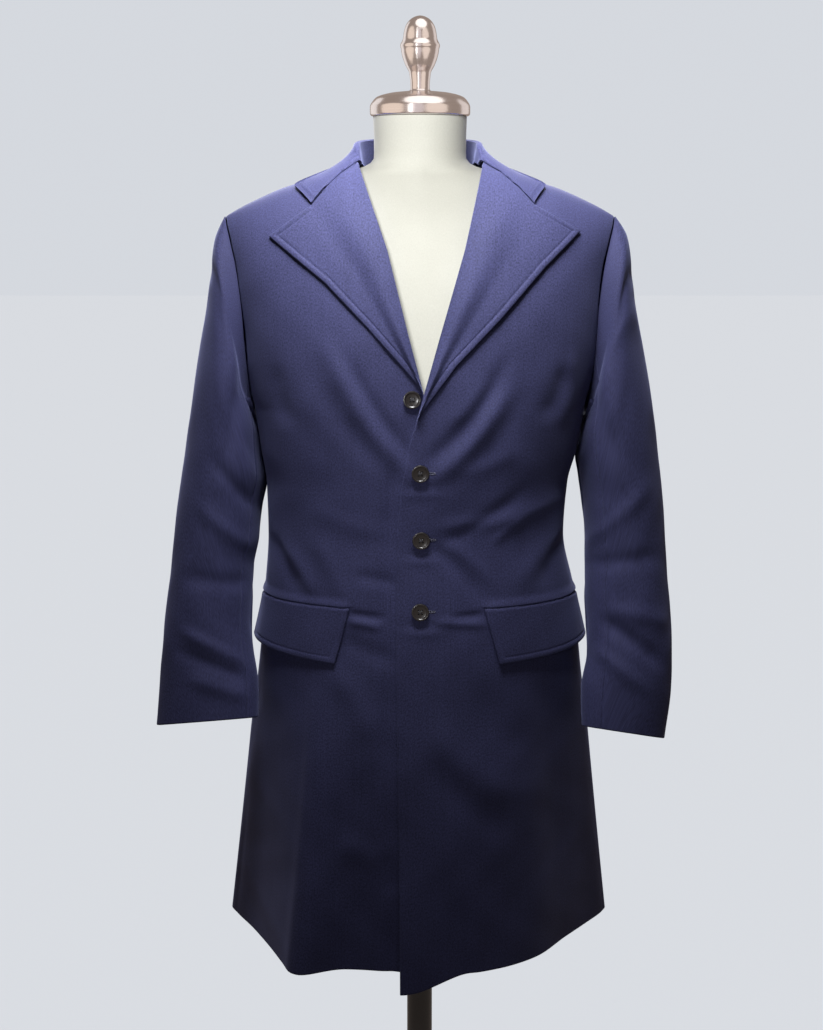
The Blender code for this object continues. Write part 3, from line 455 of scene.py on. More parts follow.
# Creases of the sleeves: from angle, ring; to angle, ring; half width; height.
# The angle is 0 on the outer line and 90 in front, and rings run down to 13.
SLEEVE_CREASES = {
    "left": (
        (60, 1.6, 10, 2.4, 0.010, -0.0022),
        (74, 2.2, 20, 3.3, 0.012, 0.0018),
        (132, 2.0, 96, 5.2, 0.010, -0.0030),
        (112, 1.6, 84, 4.6, 0.012, 0.0024),
        (150, 7.2, 60, 6.6, 0.013, 0.0024),
        (150, 8.0, 50, 8.4, 0.012, -0.0028),
        (126, 10.0, 52, 11.3, 0.011, -0.0046),
        (140, 10.9, 70, 12.0, 0.010, 0.0034),
        (116, 9.6, 40, 10.2, 0.012, 0.0026),
        (-40, 7.0, -120, 7.8, 0.014, 0.0026),
        (-30, 8.4, -118, 8.8, 0.013, -0.0026),
        (-60, 2.0, -100, 4.8, 0.013, -0.0026),
    ),
    "right": (
        (56, 1.4, 8, 2.2, 0.010, -0.0018),
        (124, 1.6, 90, 5.4, 0.011, -0.0036),
        (102, 1.4, 70, 5.0, 0.013, 0.0026),
        (146, 6.0, 80, 5.6, 0.012, -0.0024),
        (150, 7.4, 66, 7.0, 0.013, 0.0026),
        (150, 8.6, 60, 9.0, 0.013, -0.0024),
        (138, 11.4, 66, 10.6, 0.010, 0.0030),
        (142, 11.9, 60, 11.2, 0.009, -0.0026),
        (138, 12.4, 72, 11.9, 0.010, 0.0028),
        (-40, 7.2, -120, 7.6, 0.014, 0.0026),
        (-30, 8.6, -118, 8.9, 0.013, -0.0026),
        (-60, 2.0, -100, 5.0, 0.013, -0.0026),
    ),
}

# Slow unevenness: wavelength across, wavelength up, phase, height.
WAVES = (
    (0.310, 0.230, 0.4, 0.0009),
    (0.170, 0.410, 1.9, 0.0008),
    (0.094, 0.150, 3.1, 0.0005),
    (0.061, 0.073, 5.2, 0.0003),
)

# Buttons: x, height, and how far the cloth under each stands out.
BUTTON_PLACES = (
    (-0.0096, 1.234, 0.0),
    (0.0000, 1.148, LAP_RISE),
    (0.0010, 1.067, LAP_RISE),
    (0.0000, 0.981, LAP_RISE),
)
BUTTON_HOLE_RADIUS = 0.0010
BUTTON_HOLE_REACH = 0.0021
BUTTON_GAP = 0.0006
BUTTON_SIDES = 96
DRILL_SIDES = 24
DRILL_LENGTH = 0.012
DRILL_Z = 0.002
# Button profile: radius, height above its back.
BUTTON_PROFILE = (
    (0.0000, 0.0000),
    (0.0080, 0.0001),
    (0.0094, 0.0007),
    (0.0102, 0.0016),
    (0.0105, 0.0026),
    (0.0104, 0.0033),
    (0.0100, 0.0038),
    (0.0093, 0.0040),
    (0.0086, 0.0038),
    (0.0081, 0.0033),
    (0.0076, 0.0028),
    (0.0068, 0.0026),
    (0.0040, 0.0024),
    (0.0000, 0.0023),
)
THREAD_RADIUS = 0.00045
THREAD_SIDES = 10
THREAD_POINTS = 9
THREAD_Z = 0.0026
THREAD_BOW = 0.0008
THREAD_SINK = 0.0014
THREAD_SPLAY = 0.7
BUTTONHOLE_START = -0.003
BUTTONHOLE_END = 0.0175
BUTTONHOLE_HALF = 0.0010
BUTTONHOLE_BEAD = 0.0006
BUTTONHOLE_RISE = 0.0001
BUTTONHOLE_POINTS = 60
# The wider eye at one end, and how blunt the ends are.
BUTTONHOLE_EYE = 0.55
BUTTONHOLE_EYE_POWER = 6
BUTTONHOLE_BLUNT_POWER = 0.35

# Dress form: height, half width, front, back, middle y.
FORM_SECTIONS = (
    (0.800, 0.172, 0.122, 0.118, 0.006),
    (0.806, 0.178, 0.128, 0.124, 0.006),
    (0.880, 0.184, 0.135, 0.126, 0.006),
    (0.960, 0.178, 0.131, 0.113, 0.004),
    (1.056, 0.166, 0.124, 0.100, 0.000),
    (1.130, 0.174, 0.134, 0.116, 0.000),
    (1.200, 0.188, 0.141, 0.131, 0.000),
)
FORM_POWER = 2.25
FORM_HALF = 0.212
FORM_SIDE_DEPTH = 0.020
FORM_ARM_X = 0.194
FORM_INNER_X = 0.02
FORM_TRIALS = 400
FORM_SEAT = 0.0037
FORM_SHOULDER_Z = 1.250
FORM_RIDGE_HALF = 0.004
FORM_SIDE_POINTS = 61
FORM_ROWS = 130
FORM_FOOT_ROWS = 5
FORM_TOP_Z = 1.498
# Neck: height, radius, how round its ring is.
NECK = (
    (1.4995, 0.0600, 0.22),
    (1.5015, 0.0590, 0.48),
    (1.5045, 0.0580, 0.74),
    (1.5085, 0.0572, 0.92),
    (1.5140, 0.0564, 1.00),
    (1.5220, 0.0560, 1.00),
    (1.5400, 0.0562, 1.00),
    (1.5645, 0.0570, 1.00),
)

# Neck cap, finial, pole and base: radius, height.
CAP_PROFILE = (
    (0.0590, 1.5650),
    (0.0610, 1.5665),
    (0.0610, 1.5765),
    (0.0600, 1.5792),
    (0.0580, 1.5822),
    (0.0549, 1.5860),
    (0.0518, 1.5882),
    (0.0448, 1.5906),
    (0.0340, 1.5929),
    (0.0185, 1.5945),
)
FINIAL_PROFILE = (
    (0.0135, 1.5948),
    (0.0116, 1.5965),
    (0.0118, 1.6060),
    (0.0131, 1.6165),
    (0.0137, 1.6184),
    (0.0174, 1.6246),
    (0.0205, 1.6323),
    (0.0226, 1.6400),
    (0.0230, 1.6452),
    (0.0240, 1.6470),
    (0.0240, 1.6500),
    (0.0226, 1.6525),
    (0.0208, 1.6560),
    (0.0203, 1.6600),
    (0.0196, 1.6650),
    (0.0180, 1.6712),
    (0.0154, 1.6760),
    (0.0112, 1.6805),
    (0.0060, 1.6833),
    (0.0018, 1.6842),
)
POLE_PROFILE = ((0.0160, 0.0123), (0.0160, 0.7997))
BASE_PROFILE = ((0.1900, 0.0000), (0.1950, 0.0020), (0.1950, 0.0090), (0.1920, 0.0120))
ROUND_SIDES = 120
CORNER_CUT = 0.0014
CORNER_SHARE = 0.28
CORNER_ROUNDS = 2

# The room as the camera sees it.
PALE = (0.665, 0.690, 0.735)

# Softboxes: name, place, target, power, width, spread in degrees, what they light.
SOFTBOXES = (
    ("key", (-0.03, -0.36, 2.00), (0.0, 0.00, 1.47), 3.8, 0.50, 60.0, "coat"),
    ("top", (-0.05, -0.10, 2.20), (0.0, 0.00, 1.48), 1.1, 0.40, 60.0, "coat"),
    ("waist", (-0.50, -1.60, 1.25), (0.0, -0.12, 1.12), 0.14, 0.30, 24.0, "coat"),
    ("form_key", (-0.25, -1.40, 2.00), (0.0, -0.05, 1.45), 30.0, 0.70, 180.0, "stand"),
    ("back_left", (0.45, 1.40, 2.10), (0.0, 0.05, 1.15), 16.0, 0.70, 180.0, "both"),
    ("back_right", (-0.60, 1.40, 2.10), (0.0, 0.05, 1.15), 22.0, 0.70, 180.0, "both"),
)
FLOOR_REACH = 30.0
FLOOR_SUN = 3.4
FLOOR_SUN_SPREAD = 40.0
ROOM_STRENGTH = 0.050
ROOM_COLOUR = (1.0, 1.0, 0.94)
SOFTBOX_COLOUR = (0.97, 0.98, 1.0)
GLOSS_COLOUR = (0.38, 0.31, 0.27)

# Panels that the nickel reflects: name, turn from the front in degrees, height,
# width, height of the panel, brightness, colour.
PANELS = (
    ("panel_left", -68.0, 1.70, 2.10, 2.6, 0.68, (1.00, 0.86, 0.74)),
    ("panel_streak", -22.0, 1.70, 0.26, 2.6, 2.60, (1.00, 1.00, 1.00)),
    ("panel_front", -6.0, 1.70, 1.00, 2.4, 0.46, (0.94, 0.90, 1.00)),
    ("panel_right", 38.0, 1.70, 1.80, 2.6, 0.68, (1.00, 0.89, 0.80)),
    ("panel_far_left", -136.0, 1.70, 1.30, 2.4, 0.70, (0.95, 0.97, 1.00)),
    ("panel_far_right", 128.0, 1.70, 1.30, 2.4, 0.55, (0.95, 0.93, 0.94)),
)
PANEL_REACH = 1.8
PANEL_TARGET = (0.0, 0.005, 1.62)
CEILING_PANEL = ("panel_top", (0.2, -0.6, 3.2), 2.2, 1.30, (1.00, 0.99, 0.98))


def columns(table):
    """The table's columns as arrays."""
    return np.array(table, float).T


def smooth(stops, values, at):
    """A curve through the table's rows that never overshoots them."""
    step = np.diff(stops)
    slope = np.diff(values) / step
    product = slope[:-1] * slope[1:]
    total = slope[:-1] + slope[1:]
    total = np.where(np.abs(total) < 1e-12, 1.0, total)
    inner = np.where(product > 0, 2 * product / total, 0.0)
    tangent = np.concatenate(([slope[0]], inner, [slope[-1]]))
    at = np.clip(at, stops[0], stops[-1])
    row = np.clip(np.searchsorted(stops, at, side="right") - 1, 0, len(step) - 1)
    share = (at - stops[row]) / step[row]
    rest = 1 - share
    start = (1 + 2 * share) * rest**2 * values[row]
    end = share**2 * (3 - 2 * share) * values[row + 1]
    leave = share * rest**2 * step[row] * tangent[row]
    arrive = -(share**2) * rest * step[row] * tangent[row + 1]
    return start + end + leave + arrive


def ease(value):
    """0 below 0, 1 above 1, and a soft step between."""
    value = np.clip(value, 0.0, 1.0)
    return value * value * (3 - 2 * value)


def bump(distance, half):
    """A soft ridge: 1 at 0, about 0 beyond twice the half width."""
    return np.exp(-((distance / half) ** 2))


def shoulder_height(x):
    distance, height = columns(SHOULDER)
    return smooth(distance, height, np.abs(x))


def oval(angle, half, front, back, middle, power):
    """A superellipse seen from above, with its own front and back depth."""
    turn = np.radians(angle)
    across = np.sign(np.sin(turn)) * np.abs(np.sin(turn)) ** (2 / power)
    ahead = np.abs(np.cos(turn)) ** (2 / power)
    depth = np.where(np.abs(angle) <= 90, -front, back)
    return half * across, middle + depth * ahead


def body_section(angle, height):
    """x and y of the coat below the armpits."""
    stops, right, left, front, back, middle, power = columns(SECTIONS)
    half = np.where(angle < 0, smooth(stops, right, height), smooth(stops, left, height))
    x, y = oval(
        angle, half, smooth(stops, front, height), smooth(stops, back, height),
        smooth(stops, middle, height), smooth(stops, power, height),
    )
    hem_angle, hem_x, hem_y = columns(HEM_PLAN)
    drop = np.clip((SKIRT_TOP_Z - height) / (SKIRT_TOP_Z - HEM_Z), 0.0, 1.0)
    share = drop ** (SKIRT_FLARE + SKIRT_BEND * (1 - ease(drop / SKIRT_BEND_SHARE)))
    x = x + share * (smooth(hem_angle, hem_x, angle) - x)
    y = y + share * (smooth(hem_angle, hem_y, angle) - y)
    return x, y


def surface(angle, level):
    """The coat's outer surface.

    The angle runs from the front centre to the left side at 90 degrees. The
    level is 0 at the hem, 1 at the armpits and 2 on the shoulder line, and
    past 2 it goes down the other side.
    """
    angle, level = np.broadcast_arrays(np.asarray(angle, float), np.asarray(level, float))
    angle = (angle + 180) % 360 - 180
    over = level > 2
    angle = np.where(over, np.sign(angle) * (180 - np.abs(angle)), angle)
    level = np.where(over, 4 - level, level)
    height = HEM_Z + np.clip(level, 0, 1) * (ARMPIT_Z - HEM_Z)
    low_x, low_y = body_section(angle, height)
    turn_stops, half, _ = columns(ARMHOLE)
    _, _, _, front, back, middle, power = SECTIONS[-1]
    turn = np.clip(level - 1, 0, 1)
    tilt = turn * math.pi / 2
    high_x, high_y = oval(angle, smooth(turn_stops, half, turn), front, back, middle, power)
    high_y = RIDGE_Y + (high_y - RIDGE_Y) * np.cos(tilt)
    high_z = ARMPIT_Z + (shoulder_height(high_x) - ARMPIT_Z) * np.sin(tilt)
    above = level > 1
    return np.stack([
        np.where(above, high_x, low_x),
        np.where(above, high_y, low_y),
        np.where(above, high_z, height),
    ], axis=-1)


def unit(vectors):
    length = np.linalg.norm(vectors, axis=-1, keepdims=True)
    return vectors / np.maximum(length, 1e-9)


def surface_normal(angle, level):
    """The outward direction of the coat's surface."""
    around = surface(angle + NORMAL_TURN, level) - surface(angle - NORMAL_TURN, level)
    upward = surface(angle, level + NORMAL_RISE) - surface(angle, level - NORMAL_RISE)
    return unit(np.cross(around, upward))


def level_at(x, height):
    """The level of the front or back surface at x and a height."""
    rise = (height - ARMPIT_Z) / (shoulder_height(x) - ARMPIT_Z)
    above = 1 + np.arcsin(np.clip(rise, 0, 1)) / (math.pi / 2)
    below = (height - HEM_Z) / (ARMPIT_Z - HEM_Z)
    return np.where(height > ARMPIT_Z, above, below)


def front_angle(x, level):
    """The angle where the front surface has this x."""
    x, level = np.broadcast_arrays(np.asarray(x, float), np.asarray(level, float))
    low = np.full(x.shape, -89.5)
    high = np.full(x.shape, 89.5)
    for _ in range(22):
        middle = (low + high) / 2
        left = surface(middle, level)[..., 0] < x
        low = np.where(left, middle, low)
        high = np.where(left, high, middle)
    return (low + high) / 2


def front_point(x, height, out):
    """A point over the front surface, and its outward direction."""
    level = level_at(x, height)
    angle = front_angle(x, level)
    normal = surface_normal(angle, level)
    return surface(angle, level) + normal * np.asarray(out)[..., None], normal


def along(points, share):
    """Points at shares of a line's length."""
    points = np.array(points, float)
    length = np.concatenate(([0], np.cumsum(np.linalg.norm(np.diff(points, axis=0), axis=1))))
    length = length / length[-1]
    return np.stack([np.interp(share, length, column) for column in points.T], axis=-1)


def spread(count, length, start=True, end=True):
    """Shares from 0 to 1, close together near the ends of a cloth's width."""
    fine = np.array(EDGE_STOPS) / length
    low = fine[-1] if start else 0.0
    high = 1 - fine[-1] if end else 1.0
    shares = [np.linspace(low, high, count)]
    if start:
        shares.insert(0, fine[:-1])
    if end:
        shares.append(1 - fine[-2::-1])
    return np.concatenate(shares)


def edge_distance(points, axis, end):
    """Each point's distance along the cloth to one of its edges."""
    step = np.linalg.norm(np.diff(points, axis=axis), axis=-1)
    if end:
        step = np.flip(step, axis=axis)
    total = np.cumsum(step, axis=axis)
    first = np.zeros_like(np.take(total, [0], axis=axis))
    total = np.concatenate([first, total], axis=axis)
    return np.flip(total, axis=axis) if end else total


def turned_edge(distance):
    """Height of a plain folded edge."""
    return -RIM_DROP * np.clip(1 - distance / RIM_REACH, 0, 1) ** 2


def stitched_edge(distance):
    """Height of an edge that is stitched a little way in."""
    groove = -STITCH_DEPTH * bump(distance - STITCH_AT, STITCH_HALF)
    swell = SWELL_HEIGHT * bump(distance - SWELL_AT, SWELL_HALF)
    return turned_edge(distance) + groove + swell


def pressed_seam(distance):
    """Height beside a pressed seam."""
    return -SEAM_DEPTH * np.clip(1 - distance / SEAM_REACH, 0, 1) ** 2


def crease_height(across, up, creases):
    """Sum of the creases at points seen square on."""
    total = np.zeros(across.shape)
    for from_x, from_z, to_x, to_z, bow, half, height in creases:
        run = np.array([to_x - from_x, to_z - from_z])
        length = np.linalg.norm(run)
        run = run / length
        far = (across - from_x) * run[0] + (up - from_z) * run[1]
        side = (across - from_x) * -run[1] + (up - from_z) * run[0]
        share = far / length
        side = side - bow * np.sin(math.pi * np.clip(share, 0, 1))
        fade = ease((share + CREASE_OVER) / CREASE_FADE) * ease((1 + CREASE_OVER - share) / CREASE_FADE)
        total += height * bump(side, half) * fade
    return total


def wave_height(across, up):
    """Slow unevenness of hanging cloth."""
    total = np.zeros(across.shape)
    for wide, tall, phase, height in WAVES:
        lean = np.sin(across / wide * 2 * math.pi + phase + 0.8 * np.sin(up / tall * math.pi))
        total += height * lean * np.sin(up / tall * 2 * math.pi + 2.3 * phase)
    return total


def side_calm(x, height):
    """0 on the side seams and 1 away from them, so that front and back meet."""
    level = np.clip((height - HEM_Z) / (ARMPIT_Z - HEM_Z), 0, 1)
    half = np.abs(surface(np.where(x < 0, -90.0, 90.0), level)[..., 0])
    near = 1 - ease((1 - np.abs(x) / half) / SEAM_CALM)
    return 1 - near * ease((ARMPIT_Z - height) / ARMPIT_CALM)


def front_relief(points):
    """Height of the fronts' creases and dents, shared by what lies on them."""
    x = points[..., 0]
    height = points[..., 2]
    total = crease_height(x, height, FRONT_CREASES)
    for dent_x, dent_z, wide, tall, rise in BUTTON_DENTS:
        total += rise * bump(x - dent_x, wide) * bump(height - dent_z, tall)
    calm = ease((CALM_TOP_Z - height) / CALM_FADE)
    return (total + wave_height(x, height)) * calm * side_calm(x, height)


def pocket_welt(points, side):
    """Height of the cloth that hangs a little over the top of a flap."""
    across = np.abs(points[..., 0])
    above = points[..., 2] - FLAP_TOP_Z - WELT_AT
    within = ease((across - FLAP_FRONT_TOP_X[side] + WELT_PAST) / WELT_FADE)
    roll = np.where(above > 0, 1 - ease(above / WELT_REACH), 0.0)
    return WELT_HEIGHT * roll * within


def back_relief(points):
    x = points[..., 0]
    height = points[..., 2]
    calm = ease((CALM_TOP_Z - height) / CALM_FADE)
    total = crease_height(x, height, BACK_CREASES) + wave_height(x + 0.4, height)
    return total * calm * side_calm(x, height)


def edge_x(table, level):
    """The x of a front's inner edge at a level."""
    stops, values = columns(table)
    tilt = math.sin(max(level - 1, 0) * math.pi / 2)
    height = HEM_Z + min(level, 1) * (ARMPIT_Z - HEM_Z)
    x = smooth(stops, values, height)
    for _ in range(12):
        if level > 1:
            height = ARMPIT_Z + (shoulder_height(x) - ARMPIT_Z) * tilt
        x = smooth(stops, values, height)
    return float(x)


def lap_rise(points):
    """How far the left front stands out where it laps the right front."""
    x = points[..., 0]
    height = points[..., 2]
    across = 1 - ease((x - LAP_FLAT_X) / (LAP_END_X - LAP_FLAT_X))
    top = 1 - ease((height - LAP_TOP_Z) / LAP_FADE)
    return LAP_RISE * across * top


def corner_swing(points):
    """1 at the hem corner of the left front, 0 away from it."""
    x = points[..., 0]
    height = points[..., 2]
    across = 1 - ease((x - CORNER_X) / CORNER_REACH_X)
    low = ease((CORNER_TOP_Z - height) / (CORNER_TOP_Z - HEM_Z))
    return across * low


def armhole_angle(level):
    """The angle of the side seam, and above it of the armhole."""
    stops, _, edge = columns(ARMHOLE)
    return smooth(stops, edge, np.clip(level - 1, 0, 1))


def body_levels():
    """Fine levels, closer together at the hem, the armpit and the shoulder."""
    low = spread(LOW_ROWS, ARMPIT_Z - HEM_Z, end=False)
    pocket = (FLAP_TOP_Z + np.array(POCKET_STOPS) - HEM_Z) / (ARMPIT_Z - HEM_Z)
    away = (low < pocket[0] - 0.002) | (low > pocket[-1] + 0.002)
    low = np.sort(np.concatenate([low[away], pocket]))
    share = np.linspace(0, 1, HIGH_ROWS + 1)[1:]
    wave = (1 - np.cos(share * math.pi)) / 2
    high = 0.5 * share + 0.5 * wave
    return np.concatenate([low, 1 + high])


def back_top_turn(share):
    """Turn of the back's top edge: the neck, then the shoulder line."""
    _, half, _ = ARMHOLE[-1]
    power = SECTIONS[-1][-1]
    x = half * np.sin(np.radians(share * ARMHOLE[-1][2])) ** (2 / power)
    inside = np.sqrt(np.clip(1 - (x / BACK_NECK_HALF) ** 2, 0, 1))
    return np.arccos(BACK_NECK_COSINE * inside) / (math.pi / 2)


def vent_reach(height):
    """0 above the vent, 1 in it."""
    return ease((VENT_TOP_Z - height) / VENT_RAMP)


def sleeve_point(side, angle, ring):
    """A point on a sleeve: angle 0 on its outer line, 90 in front."""
    rows = columns(SLEEVES[side])
    turn = np.radians(angle)
    level = 1 + (1 + np.cos(turn)) / 2
    edge = armhole_angle(level)
    ahead = np.sin(turn) >= 0
    hole = surface(np.where(ahead, edge, 180 - edge), level)
    hole[..., 0] += SLEEVE_GAP
    hole[..., 1] += np.where(ahead, -SEAM_HALF, SEAM_HALF)
    stops = np.arange(rows.shape[1] + 1.0)
    outer_x, outer_z, inner_x, inner_z, middle, depth = [
        smooth(stops, np.concatenate(([head], row)), ring) for head, row in zip(SLEEVE_HEAD, rows)
    ]
    share = (1 + np.cos(turn)) / 2
    tilt = CUFF_TILT * (ring / len(SLEEVES[side])) ** 2
    hang = np.stack([
        inner_x + (outer_x - inner_x) * share,
        middle - depth * np.sin(turn),
        inner_z + (outer_z - inner_z) * share + tilt * depth * np.sin(turn),
    ], axis=-1)
    stay = np.clip(1 - ring, 0, 1)[..., None]
    point = hang + (hole - hang) * stay
    point[..., 0] *= SIGN[side]
    return point


def sleeve_inward(side, angle, ring):
    """The direction into a sleeve, square to its cloth."""
    around = sleeve_point(side, angle + 1.0, ring) - sleeve_point(side, angle - 1.0, ring)
    down = sleeve_point(side, angle, ring + 0.05) - sleeve_point(side, angle, ring - 0.05)
    middle = sleeve_point(side, angle, ring) - sleeve_point(side, angle + 180.0, ring)
    square = unit(np.cross(around, down))
    return -square * np.sign(np.sum(square * middle, axis=-1, keepdims=True))


def grid_normals(points):
    """Directions square to a grid of points."""
    return unit(np.cross(np.gradient(points, axis=1), np.gradient(points, axis=0)))


def link(name, mesh, material):
    mesh.materials.append(material)
    item = bpy.data.objects.new(name, mesh)
    bpy.context.collection.objects.link(item)
    return item


def lay_flat(outer, edge=0.0):
    """The cut laid flat; the edge is each row's start from the straight grain."""
    rows, across = outer.shape[:2]
    step_u = np.linalg.norm(np.diff(outer, axis=1), axis=-1)
    step_v = np.linalg.norm(np.diff(outer, axis=0), axis=-1)
    flat_u = np.concatenate([np.zeros((rows, 1)), np.cumsum(step_u, axis=1)], axis=1)
    flat_u = flat_u + np.broadcast_to(edge, (rows, 1))
    flat_v = np.concatenate([np.zeros((1, across)), np.cumsum(step_v, axis=0)], axis=0)
    return np.stack([flat_u, flat_v], axis=-1)


def make_shell(name, outer, normal, material, flat=None):
    """A thin cloth shell under a grid of points, with its flat cut as its UVs."""
    rows, across = outer.shape[:2]
    inner = outer - normal * WALL
    vertices = np.concatenate([outer.reshape(-1, 3), inner.reshape(-1, 3)])
    corner = (np.arange(rows - 1)[:, None] * across + np.arange(across - 1)).reshape(-1, 1)
    top = corner + np.array([0, 1, across + 1, across])
    under = rows * across + top[:, ::-1]
    rim = list(range(across))
    rim += [row * across + across - 1 for row in range(1, rows)]
    rim += [(rows - 1) * across + column for column in range(across - 2, -1, -1)]
    rim += [row * across for row in range(rows - 2, 0, -1)]
    rim = np.array(rim)
    after = np.roll(rim, -1)
    wall_faces = np.stack([after, rim, rows * across + rim, rows * across + after], axis=1)
    faces = np.concatenate([top, under, wall_faces])
    flat = (lay_flat(outer) if flat is None else flat).reshape(-1, 2)
    flat = np.concatenate([flat, flat])
    mesh = bpy.data.meshes.new(name)
    mesh.from_pydata(vertices.tolist(), [], faces.tolist())
    layer = mesh.uv_layers.new(name="cut")
    layer.uv.foreach_set("vector", flat[faces.ravel()].ravel().astype(np.float32))
    mesh.shade_smooth()
    mesh.set_sharp_from_angle(angle=math.radians(CLOTH_SHARP))
    mesh.update()
    item = link(name, mesh, material)
    build = bmesh.new()
    build.from_mesh(mesh)
    if build.calc_volume(signed=True) < 0:
        bmesh.ops.reverse_faces(build, faces=build.faces)
        build.to_mesh(mesh)
    build.free()
    return item


def make_front(side, material):
    sign = SIGN[side]
    levels = body_levels()
    share = spread(FRONT_COLUMNS, FRONT_WIDTH)
    inner_x = np.array([edge_x(FRONT_EDGES[side], level) for level in levels])
    inner_angle = front_angle(inner_x, levels)
    outer_angle = sign * armhole_angle(levels)
    angle = inner_angle[:, None] + (outer_angle - inner_angle)[:, None] * share
    level = np.broadcast_to(levels[:, None], angle.shape)
    points = surface(angle, level)
    normal = surface_normal(angle, level)
    out = front_relief(points) + pocket_welt(points, side)
    out += turned_edge(edge_distance(points, 0, False))
    out += turned_edge(edge_distance(points, 1, False))
    out += pressed_seam(edge_distance(points, 1, True))
    out += pressed_seam(edge_distance(points, 0, True))
    if side == "left":
        swing = corner_swing(points)
        lap = lap_rise(points) + CORNER_SWING * swing
        points = points + normal * (lap + out)[..., None]
        points[..., 2] -= CORNER_DROP * swing * ease((HEM_Z + CORNER_FADE - points[..., 2]) / CORNER_FADE)
    else:
        lap_x = smooth(*columns(FRONT_EDGES["left"]), points[..., 2]) - LAP_TROUGH_AT
        below = ease((LAP_TROUGH_TOP_Z - points[..., 2]) / LAP_FADE)
        out -= LAP_TROUGH * bump(points[..., 0] - lap_x, LAP_TROUGH_HALF) * below
        points = points + normal * out[..., None]
    points = points + np.array([sign * SEAM_HALF, -SEAM_HALF, 0])
    flat = lay_flat(points, sign * points[:, :1, 0])
    return make_shell(f"cloth_front_{side}", points, normal, material, flat)


def make_back(side, material):
    sign = SIGN[side]
    levels = body_levels()
    share = spread(BACK_COLUMNS, BACK_WIDTH)
    top = back_top_turn(share)
    level = np.where(levels[:, None] > 1, 1 + (levels[:, None] - 1) * top, levels[:, None])
    edge = 180 - armhole_angle(levels)[:, None]
    height = HEM_Z + np.minimum(levels[:, None], 1) * (ARMPIT_Z - HEM_Z)
    centre = 180 + VENT_LAP_ANGLE * vent_reach(height)
    angle = sign * (edge + (centre - edge) * (1 - share))
    points = surface(angle, level)
    normal = surface_normal(angle, level)
    out = back_relief(points)
    out += turned_edge(edge_distance(points, 0, False))
    out += pressed_seam(edge_distance(points, 1, False)) + pressed_seam(edge_distance(points, 1, True))
    out += pressed_seam(edge_distance(points, 0, True))
    if side == "right":
        near = 1 - ease((np.abs(points[..., 0]) - VENT_LAP) / VENT_LAP)
        out -= VENT_SINK * near * ease((VENT_SINK_TOP_Z - height) / VENT_SINK_RAMP)
    points = points + normal * out[..., None]
    points = points + np.array([sign * SEAM_HALF, SEAM_HALF, 0])
    return make_shell(f"cloth_back_{side}", points, normal, material)


def sleeve_relief(side, angle, ring):
    """Height of a sleeve's creases."""
    around = math.radians(1) * SLEEVE_RADIUS
    angle = (angle + 180) % 360 - 180
    creases = [
        (start * around, top * SLEEVE_RING, end * around, low * SLEEVE_RING, 0.0, half, height)
        for start, top, end, low, half, height in SLEEVE_CREASES[side]
    ]
    total = crease_height(angle * around, ring * SLEEVE_RING, creases)
    waves = wave_height(angle * around * SLEEVE_WAVE_SCALE, ring * SLEEVE_RING)
    return (total + waves) * ease(ring / SLEEVE_CALM_RINGS)


def make_sleeve_piece(name, side, start, end, material):
    trim = math.degrees(SEAM_HALF / SLEEVE_RADIUS)
    width = math.radians(end - start) * SLEEVE_RADIUS
    count = int((end - start) / SLEEVE_STEP)
    angle = start + trim + (end - start - 2 * trim) * spread(count, width)
    cuff = len(SLEEVES[side])
    plain = np.linspace(SLEEVE_HEAD_RINGS[-1], cuff - SLEEVE_CUFF_RINGS, SLEEVE_ROWS)
    ring = np.concatenate([
        SLEEVE_HEAD_RINGS[:-1], plain, cuff - np.array(EDGE_STOPS[-2::-1]) / SLEEVE_RING,
    ])
    ring, angle = np.meshgrid(ring, angle, indexing="ij")
    points = sleeve_point(side, angle, ring)
    inward = sleeve_inward(side, angle, np.maximum(ring, SLEEVE_SQUARE_RING))
    sign = SIGN[side]
    keep = ease(1 - ring / SLEEVE_PRESS_RINGS)
    inner_x = sign * np.maximum(sign * inward[..., 0], 0)
    inward[..., 0] += (inner_x - inward[..., 0]) * keep
    inward = unit(inward)
    out = sleeve_relief(side, angle, ring)
    out += pressed_seam(edge_distance(points, 1, False)) + pressed_seam(edge_distance(points, 1, True))
    out += turned_edge(edge_distance(points, 0, True))
    points = points - inward * out[..., None]
    return make_shell(name, points, -inward, material)


def lapel_grid(roll, edge, gorge):
    """x and height over a lapel, from its break up to its gorge and notch."""
    up = spread(LAPEL_ROWS, LAPEL_LENGTH, start=False)
    roll_points = along(roll, up)
    edge_points = along(edge, up)
    share = spread(LAPEL_COLUMNS, LAPEL_WIDTH, start=False)
    share = np.sort(np.concatenate([share, [NOTCH_AT]]))
    gorge_line = along(gorge, np.clip(share / NOTCH_AT, 0, 1))
    notch_line = along((gorge[-1], edge[-1]), np.clip((share - NOTCH_AT) / (1 - NOTCH_AT), 0, 1))
    top = np.where((share <= NOTCH_AT)[:, None], gorge_line, notch_line)
    plain = roll_points[:, None] + (edge_points - roll_points)[:, None] * share[:, None]
    bend = top - (roll_points[-1] + (edge_points[-1] - roll_points[-1]) * share[:, None])
    grid = plain + bend * (up**3)[:, None, None]
    grid[..., 1] -= GORGE_GAP * up[:, None] ** 3
    return grid, share, up


